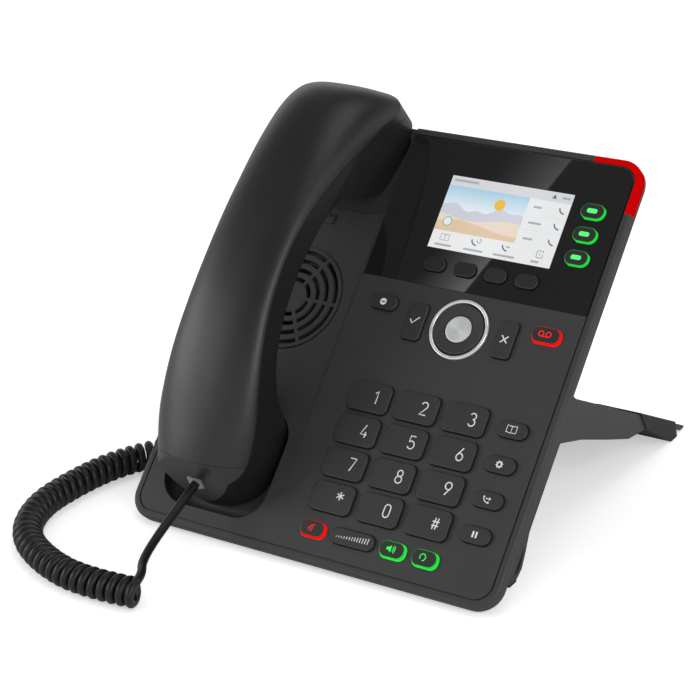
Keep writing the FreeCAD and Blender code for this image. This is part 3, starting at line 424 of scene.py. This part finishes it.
CROSS = [[(56.8, 117.2), (60.0, 114.0)], [(56.8, 114.0), (60.0, 117.2)]]
DND_AT = (-5.2, 121.5)
LOWER_Y = 14.9              # the row of keys along the lower edge
MUTE_X = 0.6
SPEAKER_X = 40.9
HEADSET_X = 56.8
RETRIEVE_AT = (76.0, 121.4)
PIP_X = 77.7
PIP_Y = (180.2, 169.1, 158.0)
NAV_AT = (35.3, 116.0)


def dial_marks(mat):
    """Digits, star and hash of the dial keys."""
    for y, row in zip(DIAL_Y, DIAL_ROWS):
        for x, mark in zip(DIAL_X, row):
            strokes = place(DIGITS[mark], x + DIGIT_AT[0], y + DIGIT_AT[1], DIGIT_H)
            body = "key_" + mark
            stroke_piece("mark_" + body, strokes, DIGIT_W, DIAL_TOP, mat, body)


def book_icon(x, y, s=1.0):
    half = [(0.0, 1.5), (0.0, -1.5), (2.3, -1.3), (2.3, 1.7), (0.0, 1.5)]
    return place([half, [(-px, py) for px, py in half]], x, y, s)


def handset_icon(x, y, s=1.0):
    return place([[(-1.55, 1.35), (-1.45, 0.5), (-0.95, -0.35), (-0.2, -1.0), (0.7, -1.4),
                   (1.5, -1.45)]], x, y, s)


def handset_ends(x, y, s=1.0):
    return place([[(-1.55, 1.3), (-1.05, 0.75)], [(0.85, -0.95), (1.45, -1.4)]], x, y, s)


def arrow_icon(x, y, s=1.0):
    return place([[(-0.4, 0.45), (1.9, 0.45)], [(1.2, 1.0), (1.9, 0.45), (1.2, -0.1)]], x, y, s)


def gear_outline(x, y, r=1.75, teeth=8):
    """Gear drawn as a ring of teeth round an open centre."""
    out = []
    for k in range(teeth * 4 + 1):
        a = 2 * math.pi * k / (teeth * 4)
        d = r if k % 4 in (1, 2) else r * 0.76
        out.append((x + d * math.cos(a), y + d * math.sin(a)))
    inner = arc(x, y, r * 0.42, r * 0.42, 0, 360, teeth * 4)
    return [[out[k], out[k + 1], inner[k + 1], inner[k]] for k in range(teeth * 4)]


def speaker_outline(x, y):
    cone = [(-1.9, 0.65), (-1.9, -0.65), (-0.9, -0.65), (0.35, -1.6), (0.35, 1.6), (-0.9, 0.65)]
    return [[(x + px, y + py) for px, py in cone]]


def loops_icon(x, y):
    left = arc(-1.75, 0.15, 1.15, 1.15, 0, 360, 18)
    right = arc(1.75, 0.15, 1.15, 1.15, 0, 360, 18)
    return place([left, right, [(-1.75, -1.0), (1.75, -1.0)]], x, y)


def microphone_icon(x, y):
    return place([[(0.0, 1.15), (0.0, 0.2)]], x, y)


def microphone_stand(x, y):
    cup = arc(0.0, 0.25, 0.95, 0.95, 180, 360)
    return place([cup, [(0.0, -0.7), (0.0, -1.45)], [(-0.7, -1.45), (0.7, -1.45)],
                  [(-1.6, -1.0), (1.6, 1.7)]], x, y)


def headset_icon(x, y):
    band = arc(0.0, 0.0, 1.35, 1.45, 215, -35, 18)
    return place([band, [(-1.15, -0.2), (-1.15, -0.95)], [(1.15, -0.2), (1.15, -0.95)],
                  [(1.05, -1.0), (0.2, -1.6)]], x, y)


def key_strokes(name, strokes, width, mat, body):
    stroke_piece(name, strokes, width, KEY_TOP, mat, body)


def key_plates(name, outlines, mat, body, over=OVER):
    plate_piece(name, outlines, KEY_TOP + over, mat, body)


def side_marks(mat):
    """Marks of the four keys right of the dial."""
    y1, y2, y3, y4 = DIAL_Y
    key_strokes("mark_directory", book_icon(SIDE_X, y1), 0.42, mat, "directory_key")
    key_plates("mark_settings", gear_outline(SIDE_X, y2), mat, "settings_key")
    x = SIDE_X - 0.3
    phone = handset_icon(x, y3) + arrow_icon(x, y3)
    key_strokes("mark_transfer", phone, 0.42, mat, "transfer_key")
    key_strokes("mark_transfer_ends", handset_ends(x, y3), 0.8, mat, "transfer_key")
    bars = [rounded(SIDE_X + s * 0.8, y4 + 0.1, 0.85, 2.8, 0.15) for s in (-1, 1)]
    key_plates("mark_hold", bars, mat, "hold_key")


def upper_marks(mat):
    """Tick, cross and do-not-disturb sign round the navigation ring."""
    key_strokes("mark_confirm", [TICK], 0.6, mat, "confirm_key")
    key_strokes("mark_cancel", CROSS, 0.6, mat, "cancel_key")
    x, y = DND_AT
    ring = arc(x, y, 1.6, 1.6, 0, 360, 28)[:-1]
    dash = rounded(x, y, 1.9, 0.5, 0.2)
    key_plates("mark_dnd", [ring], mat, "dnd_key")
    key_plates("mark_dnd_dash", [dash], MATERIALS["key_plastic"], "dnd_key", over=2 * OVER)


def red_marks(red):
    """Crossed-out microphone and message loops."""
    x, y = MUTE_X, LOWER_Y + 0.2
    key_strokes("mark_mute_capsule", microphone_icon(x, y), 0.62, red, "mute_key")
    key_strokes("mark_mute", microphone_stand(x, y), 0.2, red, "mute_key")
    loops = loops_icon(*RETRIEVE_AT)
    key_strokes("mark_retrieve", loops, 0.34, red, "retrieve_key")


def green_marks(green, pip):
    """Loudspeaker, headset and the lit bars of the function keys."""
    x, y = SPEAKER_X, LOWER_Y + 0.1
    key_plates("mark_speaker", speaker_outline(x, y), green, "speaker_key")
    waves = [arc(x + 0.3, y, r, r * 1.15, 48, -48, 8) for r in (1.1, 1.9)]
    key_strokes("mark_speaker_waves", waves, 0.42, green, "speaker_key")
    band = headset_icon(HEADSET_X, LOWER_Y + 0.2)
    key_strokes("mark_headset", band, 0.45, green, "headset_key")
    for k, (body, y) in enumerate(zip(FUNCTION_KEYS, PIP_Y)):
        key_plates("pip_%d" % (k + 1), [rounded(PIP_X, y + 0.1, 4.9, 2.1, 0.9)], pip, body)


def outline_of(name):
    """Centre and size, on the face, of the part of a key that stands above it."""
    inverse = FACE_MATRIX.inverted()
    points = [inverse @ v.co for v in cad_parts[name].data.vertices]
    above = [p for p in points if p.z > 0.3]
    xs = [p.x for p in above]
    ys = [p.y for p in above]
    return (min(xs) + max(xs)) / 2, (min(ys) + max(ys)) / 2, max(xs) - min(xs), max(ys) - min(ys)


LIGHT_RING = 0.32
RING_SHIFT = 0.28           # the guides stand out further at the lower right
RING_Z = 0.05


def light_rings(names, mat):
    """Light guides set round the lit keys, level with the face."""
    for name in names:
        x, y, w, h = outline_of(name)
        r = 0.42 * h
        g = LIGHT_RING
        outer = rounded(x + RING_SHIFT, y - RING_SHIFT, w + 2 * g, h + 2 * g, r + g)
        inner = rounded(x, y, w, h, r)
        count = len(outer)
        quads = []
        for k in range(count):
            n = (k + 1) % count
            quads.append([outer[k], outer[n], inner[n], inner[k]])
        plate_piece("light_ring_" + name, quads, RING_Z, mat, "base")


VOLUME_BARS = 13
VOLUME_AT = (13.6, 13.9)
VOLUME_PITCH = 1.3
VOLUME_BAR_W = 0.38
VOLUME_SLANT = 0.06
VOLUME_Z = 1.43


def volume_marks(mat):
    """Slanted bars that grow to the right."""
    bars = []
    low = VOLUME_AT[1]
    for k in range(VOLUME_BARS):
        x = VOLUME_AT[0] + k * VOLUME_PITCH
        right = x + VOLUME_BAR_W
        h = 0.5 + 2.2 * k / (VOLUME_BARS - 1)
        lean = h * VOLUME_SLANT
        bars.append([(x, low), (right, low), (right + lean, low + h), (x + lean, low + h)])
    plate_piece("mark_volume", bars, VOLUME_Z, mat, "volume_rocker")


def nav_marks(mat):
    """Four faint chevrons on the ring."""
    cx, cy = NAV_AT
    r = 9.3
    for k, name in enumerate(("right", "up", "left", "down")):
        a = math.radians(90 * k)
        c, s = math.cos(a), math.sin(a)
        pts = [(cx + c * px - s * py, cy + s * px + c * py)
               for px, py in ((r - 0.5, 1.2), (r + 0.5, 0.0), (r - 0.5, -1.2))]
        stroke_piece("chevron_" + name, [pts], 0.4, 1.06, mat, "nav_ring")


def turned_disc(mat):
    """Turned metal cap of the centre button, with its own axis."""
    rings = (0.0, 2.0, 4.0, 5.4, 5.85, 6.0)
    heights = (0.10, 0.09, 0.07, 0.05, 0.03, -0.02)
    count = 64
    verts = [Vector((0, 0, heights[0] * MM))]
    faces = []
    for r, h in zip(rings[1:], heights[1:]):
        start = len(verts)
        for k in range(count):
            a = 2 * math.pi * k / count
            verts.append(Vector((r * math.cos(a), r * math.sin(a), h)) * MM)
        for k in range(count):
            n = (k + 1) % count
            if start == 1:
                faces.append((0, start + k, start + n))
            else:
                faces.append((start - count + k, start + k, start + n, start - count + n))
    mesh = bpy.data.meshes.new("turned_disc")
    mesh.from_pydata(verts, [], faces)
    for poly in mesh.polygons:
        poly.use_smooth = True
    obj = bpy.data.objects.new("turned_disc", mesh)
    mesh.materials.append(mat)
    bpy.context.collection.objects.link(obj)
    obj.matrix_world = Matrix.Translation(face(*NAV_AT, 1.2)) @ TURN.to_4x4()
    bpy.context.view_layer.update()
    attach(obj, "nav_centre_button")


# ---------------------------------------------------------------- display picture
SCREEN = (5.3, 66.6, 151.3, 186.7)      # left, right, bottom, top
STATUS_Y = 182.0                        # the status bar lies above this
PICTURE = (5.3, 46.2, 160.0, 182.0)
RIDGE_STEPS = 24
SCREEN_Z = 0.02
LAYER = 0.012


def screen_material(name, hex_colour, strength=1.0, spread=0.03):
    """Lit picture area under the window, with the fine unevenness of a display."""
    mat, nodes, links, shader = new_material(name)
    coords = nodes.new("ShaderNodeTexCoord").outputs["Object"]
    colour = linear(hex_colour)
    cloud = noise(nodes, links, coords, 160.0, 4.0)
    base = mix_colour(nodes, links, cloud, shade(colour, 1 - spread), shade(colour, 1 + spread))
    links.new(base, shader.inputs["Emission Color"])
    shader.inputs["Base Color"].default_value = (0.005, 0.005, 0.005, 1.0)
    shader.inputs["Emission Strength"].default_value = strength
    shader.inputs["Roughness"].default_value = 0.08
    return mat


def sky_material():
    """Sky fading from pale blue at the top to near white at the horizon."""
    mat = screen_material("screen_sky", "#a9cfe4")
    nodes = mat.node_tree.nodes
    links = mat.node_tree.links
    shader = nodes["Principled BSDF"]
    coords = nodes.new("ShaderNodeTexCoord").outputs["Object"]
    along = dot_product(nodes, links, coords, FACE_UP)
    low = face(0, 168.0).dot(Vector(FACE_UP))
    high = face(0, 182.0).dot(Vector(FACE_UP))
    fade = ramp(nodes, links, along, low, high).outputs["Result"]
    base = mix_colour(nodes, links, fade, linear("#eef2f3"), linear("#a4cbe2"))
    links.new(base, shader.inputs["Emission Color"])
    return mat


def screen_plates(name, outlines, level, mat):
    plate_piece(name, outlines, SCREEN_Z + LAYER * level, mat, "base")


def box_outline(x0, x1, y0, y1):
    return [(x0, y0), (x1, y0), (x1, y1), (x0, y1)]


def screen_strokes(name, strokes, width, level, mat):
    stroke_piece(name, strokes, width, SCREEN_Z + LAYER * level, mat, "base", thick=0.02)


def ridge(wave):
    """Line of a range of hills across the picture; wave gives a step's place its height."""
    x0, x1 = PICTURE[:2]
    out = []
    for k in range(RIDGE_STEPS + 1):
        x = x0 + (x1 - x0) * k / RIDGE_STEPS
        out.append((x, wave(k, x)))
    return out


def landscape():
    """Sky, far hills, two dunes and sun."""
    x0, x1, y0, y1 = PICTURE
    corners = [(x1, y0), (x0, y0)]
    dune = screen_material("screen_dune", "#e6d6c4", spread=0.06)
    sand = screen_material("screen_sand", "#dcc3a4", spread=0.08)
    far = screen_material("screen_far", "#c9ccd6")
    screen_plates("screen_sky", [box_outline(x0, x1, y0, y1)], 1, sky_material())
    hills = ridge(lambda k, x: 172.3 + 1.5 * math.sin(x * 0.21) + 0.8 * math.sin(x * 0.57 + 1.0))
    hills = [(x0, 168.5)] + hills + [(x1, 168.5)]
    screen_plates("screen_hills", [hills + corners], 2, far)
    back = ridge(lambda k, x: 167.6 + 1.3 * math.sin(k * 0.26 + 2.4))
    screen_plates("screen_back_dune", [back + corners], 3, dune)
    front = ridge(lambda k, x: 164.2 + 1.8 * math.sin(k * 0.2 + 0.3))
    screen_plates("screen_front_dune", [front + corners], 4, sand)
    sun = screen_material("screen_sun", "#e6b93a")
    screen_plates("screen_sun", [arc(33.0, 176.2, 2.7, 2.7, 0, 360, 28)[:-1]], 5, sun)


LINE_ROWS = ((178.2, 4.2), (170.6, 6.4), (163.0, 5.0))                  # height, label's width
SOFT_LABELS = ((12.5, 8.6), (27.9, 9.8), (43.3, 10.6), (58.7, 4.0))     # centre, width


def screen_labels(pale):
    """Plain bars where a display has words."""
    names = [rounded(49.2 + w / 2, y, w, 1.0, 0.45) for y, w in LINE_ROWS]
    names += [rounded(x, 153.2, w, 1.0, 0.45) for x, w in SOFT_LABELS]
    names += [rounded(13.0, 184.7, 12.6, 1.2, 0.5), rounded(63.2, 184.4, 4.0, 1.2, 0.5)]
    screen_plates("screen_labels", names, 3, pale)


def screen_symbols(ink):
    """Receivers beside the lines and small signs over the soft keys."""
    lines = []
    for y, w in LINE_ROWS:
        lines += handset_icon(63.2, y + 0.2, 0.9)
    lines += handset_icon(27.2, 157.0, 0.9) + handset_icon(42.6, 157.0, 0.9)
    screen_strokes("screen_handsets", lines, 0.7, 3, ink)
    thin = book_icon(12.2, 156.8, 0.95) + arrow_icon(43.0, 157.2, 0.9)
    thin += [arc(29.4, 158.0, 1.0, 1.0, 100, -200, 10)]
    thin += [rounded(60.0, 156.9, 3.0, 3.2, 0.6) + [(61.5, 156.9)], [(60.0, 156.4), (60.0, 157.4)]]
    screen_strokes("screen_icons", thin, 0.28, 3, ink)
    alert = [[(56.3, 183.5), (58.7, 183.5), (57.5, 185.7)]]
    screen_plates("screen_alert", alert, 3, ink)


def display_picture():
    """Generic picture and signs, in place of the display's own."""
    x0, x1, y0, y1 = SCREEN
    white = screen_material("screen_white", "#e6e7e8")
    grey = screen_material("screen_grey", "#d2d4d7")
    mint = screen_material("screen_mint", "#59b793")
    screen_plates("screen_base", [box_outline(*SCREEN)], 0, white)
    screen_plates("screen_status", [box_outline(x0, x1, STATUS_Y, y1)], 1, grey)
    landscape()
    screen_strokes("screen_ring", [arc(10.6, 164.6, 2.1, 2.1, 0, 360, 28)], 0.45, 6, mint)
    inside = arc(10.6, 164.6, 1.9, 1.9, 0, 360, 28)[:-1]
    screen_plates("screen_ring_fill", [inside], 5, white)
    screen_labels(screen_material("screen_pale", "#a9adb2"))
    screen_symbols(screen_material("screen_ink", "#6c7076"))
    dividers = [box_outline(PICTURE[1], x1, y, y + 0.12) for y in (174.6, 167.2)]
    screen_plates("screen_dividers", dividers, 3, grey)


# ---------------------------------------------------------------- cord
WIRE_R = 2.0
HELIX_R = 5.0               # from the coil's axis to the wire's middle
PITCH = 4.8
TURN_POINTS = 14            # points of the route in each turn
LEAD_ROUTE = ((-55.02, 1.78, 22.97), (-55.56, -22.15, 12.83), (-51.0, -44.0, 8.2),
              (-43.6, -53.0, 8.4), (-42.5, -58.8, 7.75))
COIL_ROUTE = ((-42.5, -58.8), (-69.0, -62.5), (-97.0, -55.5), (-120.0, -41.5), (-131.5, -18.0),
              (-131.0, 7.0), (-126.5, 31.0), (-114.0, 53.0), (-91.0, 67.0), (-64.0, 69.0))
COIL_Z = 2.45               # height of the coil's axis, as the routes count it
TAIL_ROUTE = ((-59.0, 66.0, 8.4), (-42.0, 69.4, 7.0), (-22.0, 69.0, 25.0), (-17.0, 65.77, 48.67),
              (-17.0, 77.37, 60.68))


def nurbs_curve(name, points, resolution):
    """Smooth line with the points of a route."""
    curve = bpy.data.curves.new(name, "CURVE")
    curve.dimensions = "3D"
    curve.resolution_u = resolution
    spline = curve.splines.new("NURBS")
    spline.points.add(len(points) - 1)
    for p, q in zip(spline.points, points):
        p.co = (q[0], q[1], q[2], 1.0)
    spline.order_u = 3
    spline.use_endpoint_u = True
    return curve


def route_points(name, points, resolution=24):
    """Points read from the NURBS line of a route."""
    curve = nurbs_curve(name, points, resolution)
    source = bpy.data.objects.new(name, curve)
    bpy.context.collection.objects.link(source)
    bpy.context.view_layer.update()
    mesh = bpy.data.meshes.new_from_object(source)
    out = [v.co.copy() for v in mesh.vertices]
    bpy.data.objects.remove(source)
    bpy.data.meshes.remove(mesh)
    return out


def length_of(points):
    return sum((b - a).length for a, b in zip(points, points[1:]))


def helix_points(line, radius, pitch, count):
    """Points winding round a level line, starting at its top."""
    total = length_of(line)
    turns = round(total / pitch) + 0.75
    steps = int(turns * count)
    out = []
    index = 0
    walked = 0.0
    for k in range(steps + 1):
        target = total * k / steps
        while index < len(line) - 2 and walked + (line[index + 1] - line[index]).length < target:
            walked += (line[index + 1] - line[index]).length
            index += 1
        step = line[index + 1] - line[index]
        centre = line[index] + step * ((target - walked) / step.length)
        along = step.normalized()
        side = Vector((0, 0, 1)).cross(along)
        a = 2 * math.pi * turns * k / steps
        out.append(centre + radius * (math.cos(a) * Vector((0, 0, 1)) + math.sin(a) * side))
    return out


def tube_mesh(name, path, radius, sides=14):
    """Round tube along the points of a path, closed at both ends."""
    verts = []
    faces = []
    normal = None
    for k, p in enumerate(path):
        ahead = (path[min(k + 1, len(path) - 1)] - path[max(k - 1, 0)]).normalized()
        if normal is None:
            normal = ahead.orthogonal().normalized()
        normal = (normal - normal.dot(ahead) * ahead).normalized()
        across = ahead.cross(normal)
        for j in range(sides):
            a = 2 * math.pi * j / sides
            verts.append(p + radius * (math.cos(a) * normal + math.sin(a) * across))
    for k in range(len(path) - 1):
        for j in range(sides):
            n = (j + 1) % sides
            faces.append((k * sides + j, k * sides + n, (k + 1) * sides + n, (k + 1) * sides + j))
    faces.append(tuple(reversed(range(sides))))
    faces.append(tuple(range((len(path) - 1) * sides, len(path) * sides)))
    mesh = bpy.data.meshes.new(name)
    mesh.from_pydata(verts, [], faces)
    for poly in mesh.polygons:
        poly.use_smooth = True
    return mesh


def handset_lead(mat):
    """Straight lead from the handset's plug to the coil."""
    path = route_points("lead_route", [tilted(*p) for p in LEAD_ROUTE])
    mesh = tube_mesh("handset_lead", path, WIRE_R * MM)
    mesh.materials.append(mat)
    obj = bpy.data.objects.new("handset_lead", mesh)
    bpy.context.collection.objects.link(obj)
    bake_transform(obj)
    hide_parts("cord_lead")
    return obj


def curly_cord(mat):
    """Curled stretch and the tail to the plug in the base, as one wire."""
    line = route_points("coil_route", [tilted(x, y, COIL_Z) for x, y in COIL_ROUTE])
    turns = helix_points(line, HELIX_R * MM, PITCH * MM, TURN_POINTS)
    points = turns + [tilted(*p) for p in TAIL_ROUTE]
    curve = nurbs_curve("curly_cord", points, 3)
    curve.bevel_depth = WIRE_R * MM
    curve.bevel_resolution = 3
    curve.use_fill_caps = True
    curve.materials.append(mat)
    obj = bpy.data.objects.new("curly_cord", curve)
    bpy.context.collection.objects.link(obj)
    length = length_of(route_points("curly_measure", points, 3))
    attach(obj, "base")
    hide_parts("cord_coil", "cord_tail")
    return obj


# ---------------------------------------------------------------- studio
FLOOR_HALF = 6.0
FLOOR_GLOW = 0.45


def stage_floor():
    """Pale floor that fades into the white background and keeps the shadow."""
    size = FLOOR_HALF
    mesh = bpy.data.meshes.new("studio_floor")
    corners = [(-size, -size, 0), (size, -size, 0), (size, size, 0), (-size, size, 0)]
    mesh.from_pydata(corners, [], [(0, 1, 2, 3)])
    mat, nodes, links, shader = new_material("studio_floor")
    coords = nodes.new("ShaderNodeTexCoord").outputs["Object"]
    cloud = noise(nodes, links, coords, 4.0)
    base = mix_colour(nodes, links, cloud, (0.86, 0.86, 0.86, 1), (0.9, 0.9, 0.9, 1))
    links.new(base, shader.inputs["Base Color"])
    shader.inputs["Roughness"].default_value = 0.9
    shader.inputs["Specular IOR Level"].default_value = 0.1
    path = nodes.new("ShaderNodeLightPath")
    glow = nodes.new("ShaderNodeEmission")
    glow.inputs["Color"].default_value = (1, 1, 1, 1)
    level = combine(nodes, links, "MULTIPLY", path.outputs["Is Camera Ray"], FLOOR_GLOW)
    links.new(level, glow.inputs["Strength"])
    surface = added(nodes, links, shader.outputs["BSDF"], glow.outputs["Emission"])
    links.new(surface, nodes["Material Output"].inputs["Surface"])
    mesh.materials.append(mat)
    obj = bpy.data.objects.new("studio_floor", mesh)
    bpy.context.collection.objects.link(obj)


WINDOW_BAND = ((-2.0, 122.0), (26.6, 122.0), (63.5, 214.0), (30.0, 214.0))
CARD_REACH = 0.9            # metres from the window to the card
CARD_FADE = 1.6             # power of the fade across the band
CARD_LEVEL = (2.4, 1.0)     # strength at the band's foot and head


def mirrored(x, y):
    """Where the camera sees a point of the window reflect, CARD_REACH away."""
    normal = Vector(FACE_NORMAL)
    p = face(x, y)
    ray = (p - CAMERA_PLACE).normalized()
    return p + (ray - 2 * ray.dot(normal) * normal) * CARD_REACH


def card_material():
    """Clear to everything but reflections, which see it lit."""
    mat, nodes, links, shader = new_material("reflection_card")
    nodes.remove(shader)
    path = nodes.new("ShaderNodeLightPath")
    coords = nodes.new("ShaderNodeTexCoord")
    split = nodes.new("ShaderNodeSeparateXYZ")
    links.new(coords.outputs["UV"], split.inputs["Vector"])
    across = combine(nodes, links, "POWER", split.outputs["X"], CARD_FADE)
    along = ramp(nodes, links, split.outputs["Y"], 0.0, 1.0, *CARD_LEVEL).outputs["Result"]
    level = combine(nodes, links, "MULTIPLY", across, along)
    gate = combine(nodes, links, "MULTIPLY", level, path.outputs["Is Glossy Ray"])
    light = nodes.new("ShaderNodeEmission")
    links.new(gate, light.inputs["Strength"])
    through = nodes.new("ShaderNodeBsdfTransparent")
    surface = added(nodes, links, through.outputs["BSDF"], light.outputs["Emission"])
    links.new(surface, nodes["Material Output"].inputs["Surface"])
    return mat


def reflection_card():
    """Faint lit card whose slanted edge shows in the glossy window, seen by reflections only."""
    mesh = bpy.data.meshes.new("reflection_card")
    mesh.from_pydata([mirrored(x, y) for x, y in WINDOW_BAND], [], [(0, 1, 2, 3)])
    uv = mesh.uv_layers.new(name="UVMap")
    for loop, value in zip(uv.data, ((0, 0), (1, 0), (1, 1), (0, 1))):
        loop.uv = value
    mesh.materials.append(card_material())
    obj = bpy.data.objects.new("reflection_card", mesh)
    bpy.context.collection.objects.link(obj)


def area_light(name, place_at, aim, size_x, size_y, power):
    data = bpy.data.lights.new(name, "AREA")
    data.shape = "RECTANGLE"
    data.size = size_x
    data.size_y = size_y
    data.energy = power
    obj = bpy.data.objects.new(name, data)
    bpy.context.collection.objects.link(obj)
    obj.location = place_at
    away = Vector(aim) - Vector(place_at)
    obj.rotation_euler = away.to_track_quat("-Z", "Y").to_euler()


CEILING_FROM = 0.35         # heights of the ray's direction between which the white fades
CEILING_TO = 0.65
CEILING_LEVEL = 0.16
SOFT_FILL = 0.5


def white_background(nodes):
    node = nodes.new("ShaderNodeBackground")
    node.inputs["Color"].default_value = (1, 1, 1, 1)
    return node


def backdrop_level(nodes, links, path):
    """Full white to the eye; in reflections it fades to a dim ceiling."""
    coords = nodes.new("ShaderNodeTexCoord")
    split = nodes.new("ShaderNodeSeparateXYZ")
    links.new(coords.outputs["Generated"], split.inputs["Vector"])
    ceiling = ramp(nodes, links, split.outputs["Z"], CEILING_FROM, CEILING_TO, 1.0, CEILING_LEVEL)
    ceiling.interpolation_type = "SMOOTHSTEP"
    seen = path.outputs["Is Camera Ray"]
    return combine(nodes, links, "MAXIMUM", seen, ceiling.outputs["Result"])


def world_light():
    """White backdrop to the eye and in reflections, and a soft fill for everything else."""
    world = bpy.data.worlds.new("studio_world")
    bpy.context.scene.world = world
    world.use_nodes = True
    nodes = world.node_tree.nodes
    links = world.node_tree.links
    nodes.clear()
    out = nodes.new("ShaderNodeOutputWorld")
    path = nodes.new("ShaderNodeLightPath")
    backdrop = white_background(nodes)
    links.new(backdrop_level(nodes, links, path), backdrop.inputs["Strength"])
    soft = white_background(nodes)
    soft.inputs["Strength"].default_value = SOFT_FILL
    rays = path.outputs
    direct = combine(nodes, links, "ADD", rays["Is Camera Ray"], rays["Is Glossy Ray"])
    shown = combine(nodes, links, "ADD", direct, rays["Is Transmission Ray"])
    shown.node.use_clamp = True
    mix = nodes.new("ShaderNodeMixShader")
    links.new(shown, mix.inputs["Fac"])
    links.new(soft.outputs["Background"], mix.inputs[1])
    links.new(backdrop.outputs["Background"], mix.inputs[2])
    links.new(mix.outputs["Shader"], out.inputs["Surface"])


CAMERA_PLACE = Vector((0.49137, -0.77105, 0.47402))
CAMERA_RIGHT = Vector((0.837582, 0.543989, -0.050324))
CAMERA_DOWN = Vector((0.183603, -0.367053, -0.911900))
LENS = 113.70


def camera():
    """Camera at the photograph's place and turn."""
    data = bpy.data.cameras.new("camera")
    data.lens = LENS
    data.sensor_width = 36.0
    data.clip_start = 0.05
    data.clip_end = 30.0
    obj = bpy.data.objects.new("camera", data)
    bpy.context.collection.objects.link(obj)
    forward = CAMERA_RIGHT.cross(CAMERA_DOWN)
    rows = Matrix((CAMERA_RIGHT, -CAMERA_DOWN, -forward)).transposed().to_4x4()
    obj.matrix_world = Matrix.Translation(CAMERA_PLACE) @ rows
    bpy.context.scene.camera = obj
    bpy.context.scene.view_settings.view_transform = "Standard"


def lights():
    """A soft key from the left, a high one and a fill, all away from the window's mirror."""
    middle = (0.0, 0.0, 0.08)
    area_light("softbox_left", (-1.2, -0.8, 0.55), middle, 0.8, 0.6, 6.5)
    area_light("softbox_top", (0.2, 0.15, 1.6), middle, 1.1, 0.8, 4.5)
    area_light("fill_right", (1.3, -0.8, 0.9), middle, 1.0, 1.0, 11.0)


def all_marks():
    """Printed and lit marks of the keys, each riding its key."""
    ink = plastic("print_white", "#d9d9d9", 0.5, grain=900.0, bump=0.02, spread=0.05)
    faint = plastic("print_grey", "#2c2c2c", 0.5, grain=900.0, bump=0.02)
    red = lit("icon_red", "#e8140c", 1.0, 900.0)
    green = lit("icon_green", "#2ec646", 0.9, 900.0)
    pip = lit("pip_green", "#4fe06a", 0.55, 900.0)
    dial_marks(ink)
    side_marks(ink)
    upper_marks(ink)
    volume_marks(ink)
    nav_marks(faint)
    red_marks(red)
    green_marks(green, pip)
    light_rings(AUDIO_KEYS, lit("ring_green", "#17c934", 0.8, 900.0))
    light_rings(LIT_RED, lit("ring_red", "#d80c0a", 0.8, 900.0))


def main():
    finish_nodes()
    all_marks()
    turned_disc(brushed("turned_metal", "#f0f1f2"))
    display_picture()
    handset_lead(MATERIALS["cord_black"])
    curly_cord(MATERIALS["cord_black"])
    stage_floor()
    reflection_card()
    world_light()
    lights()
    camera()


main()
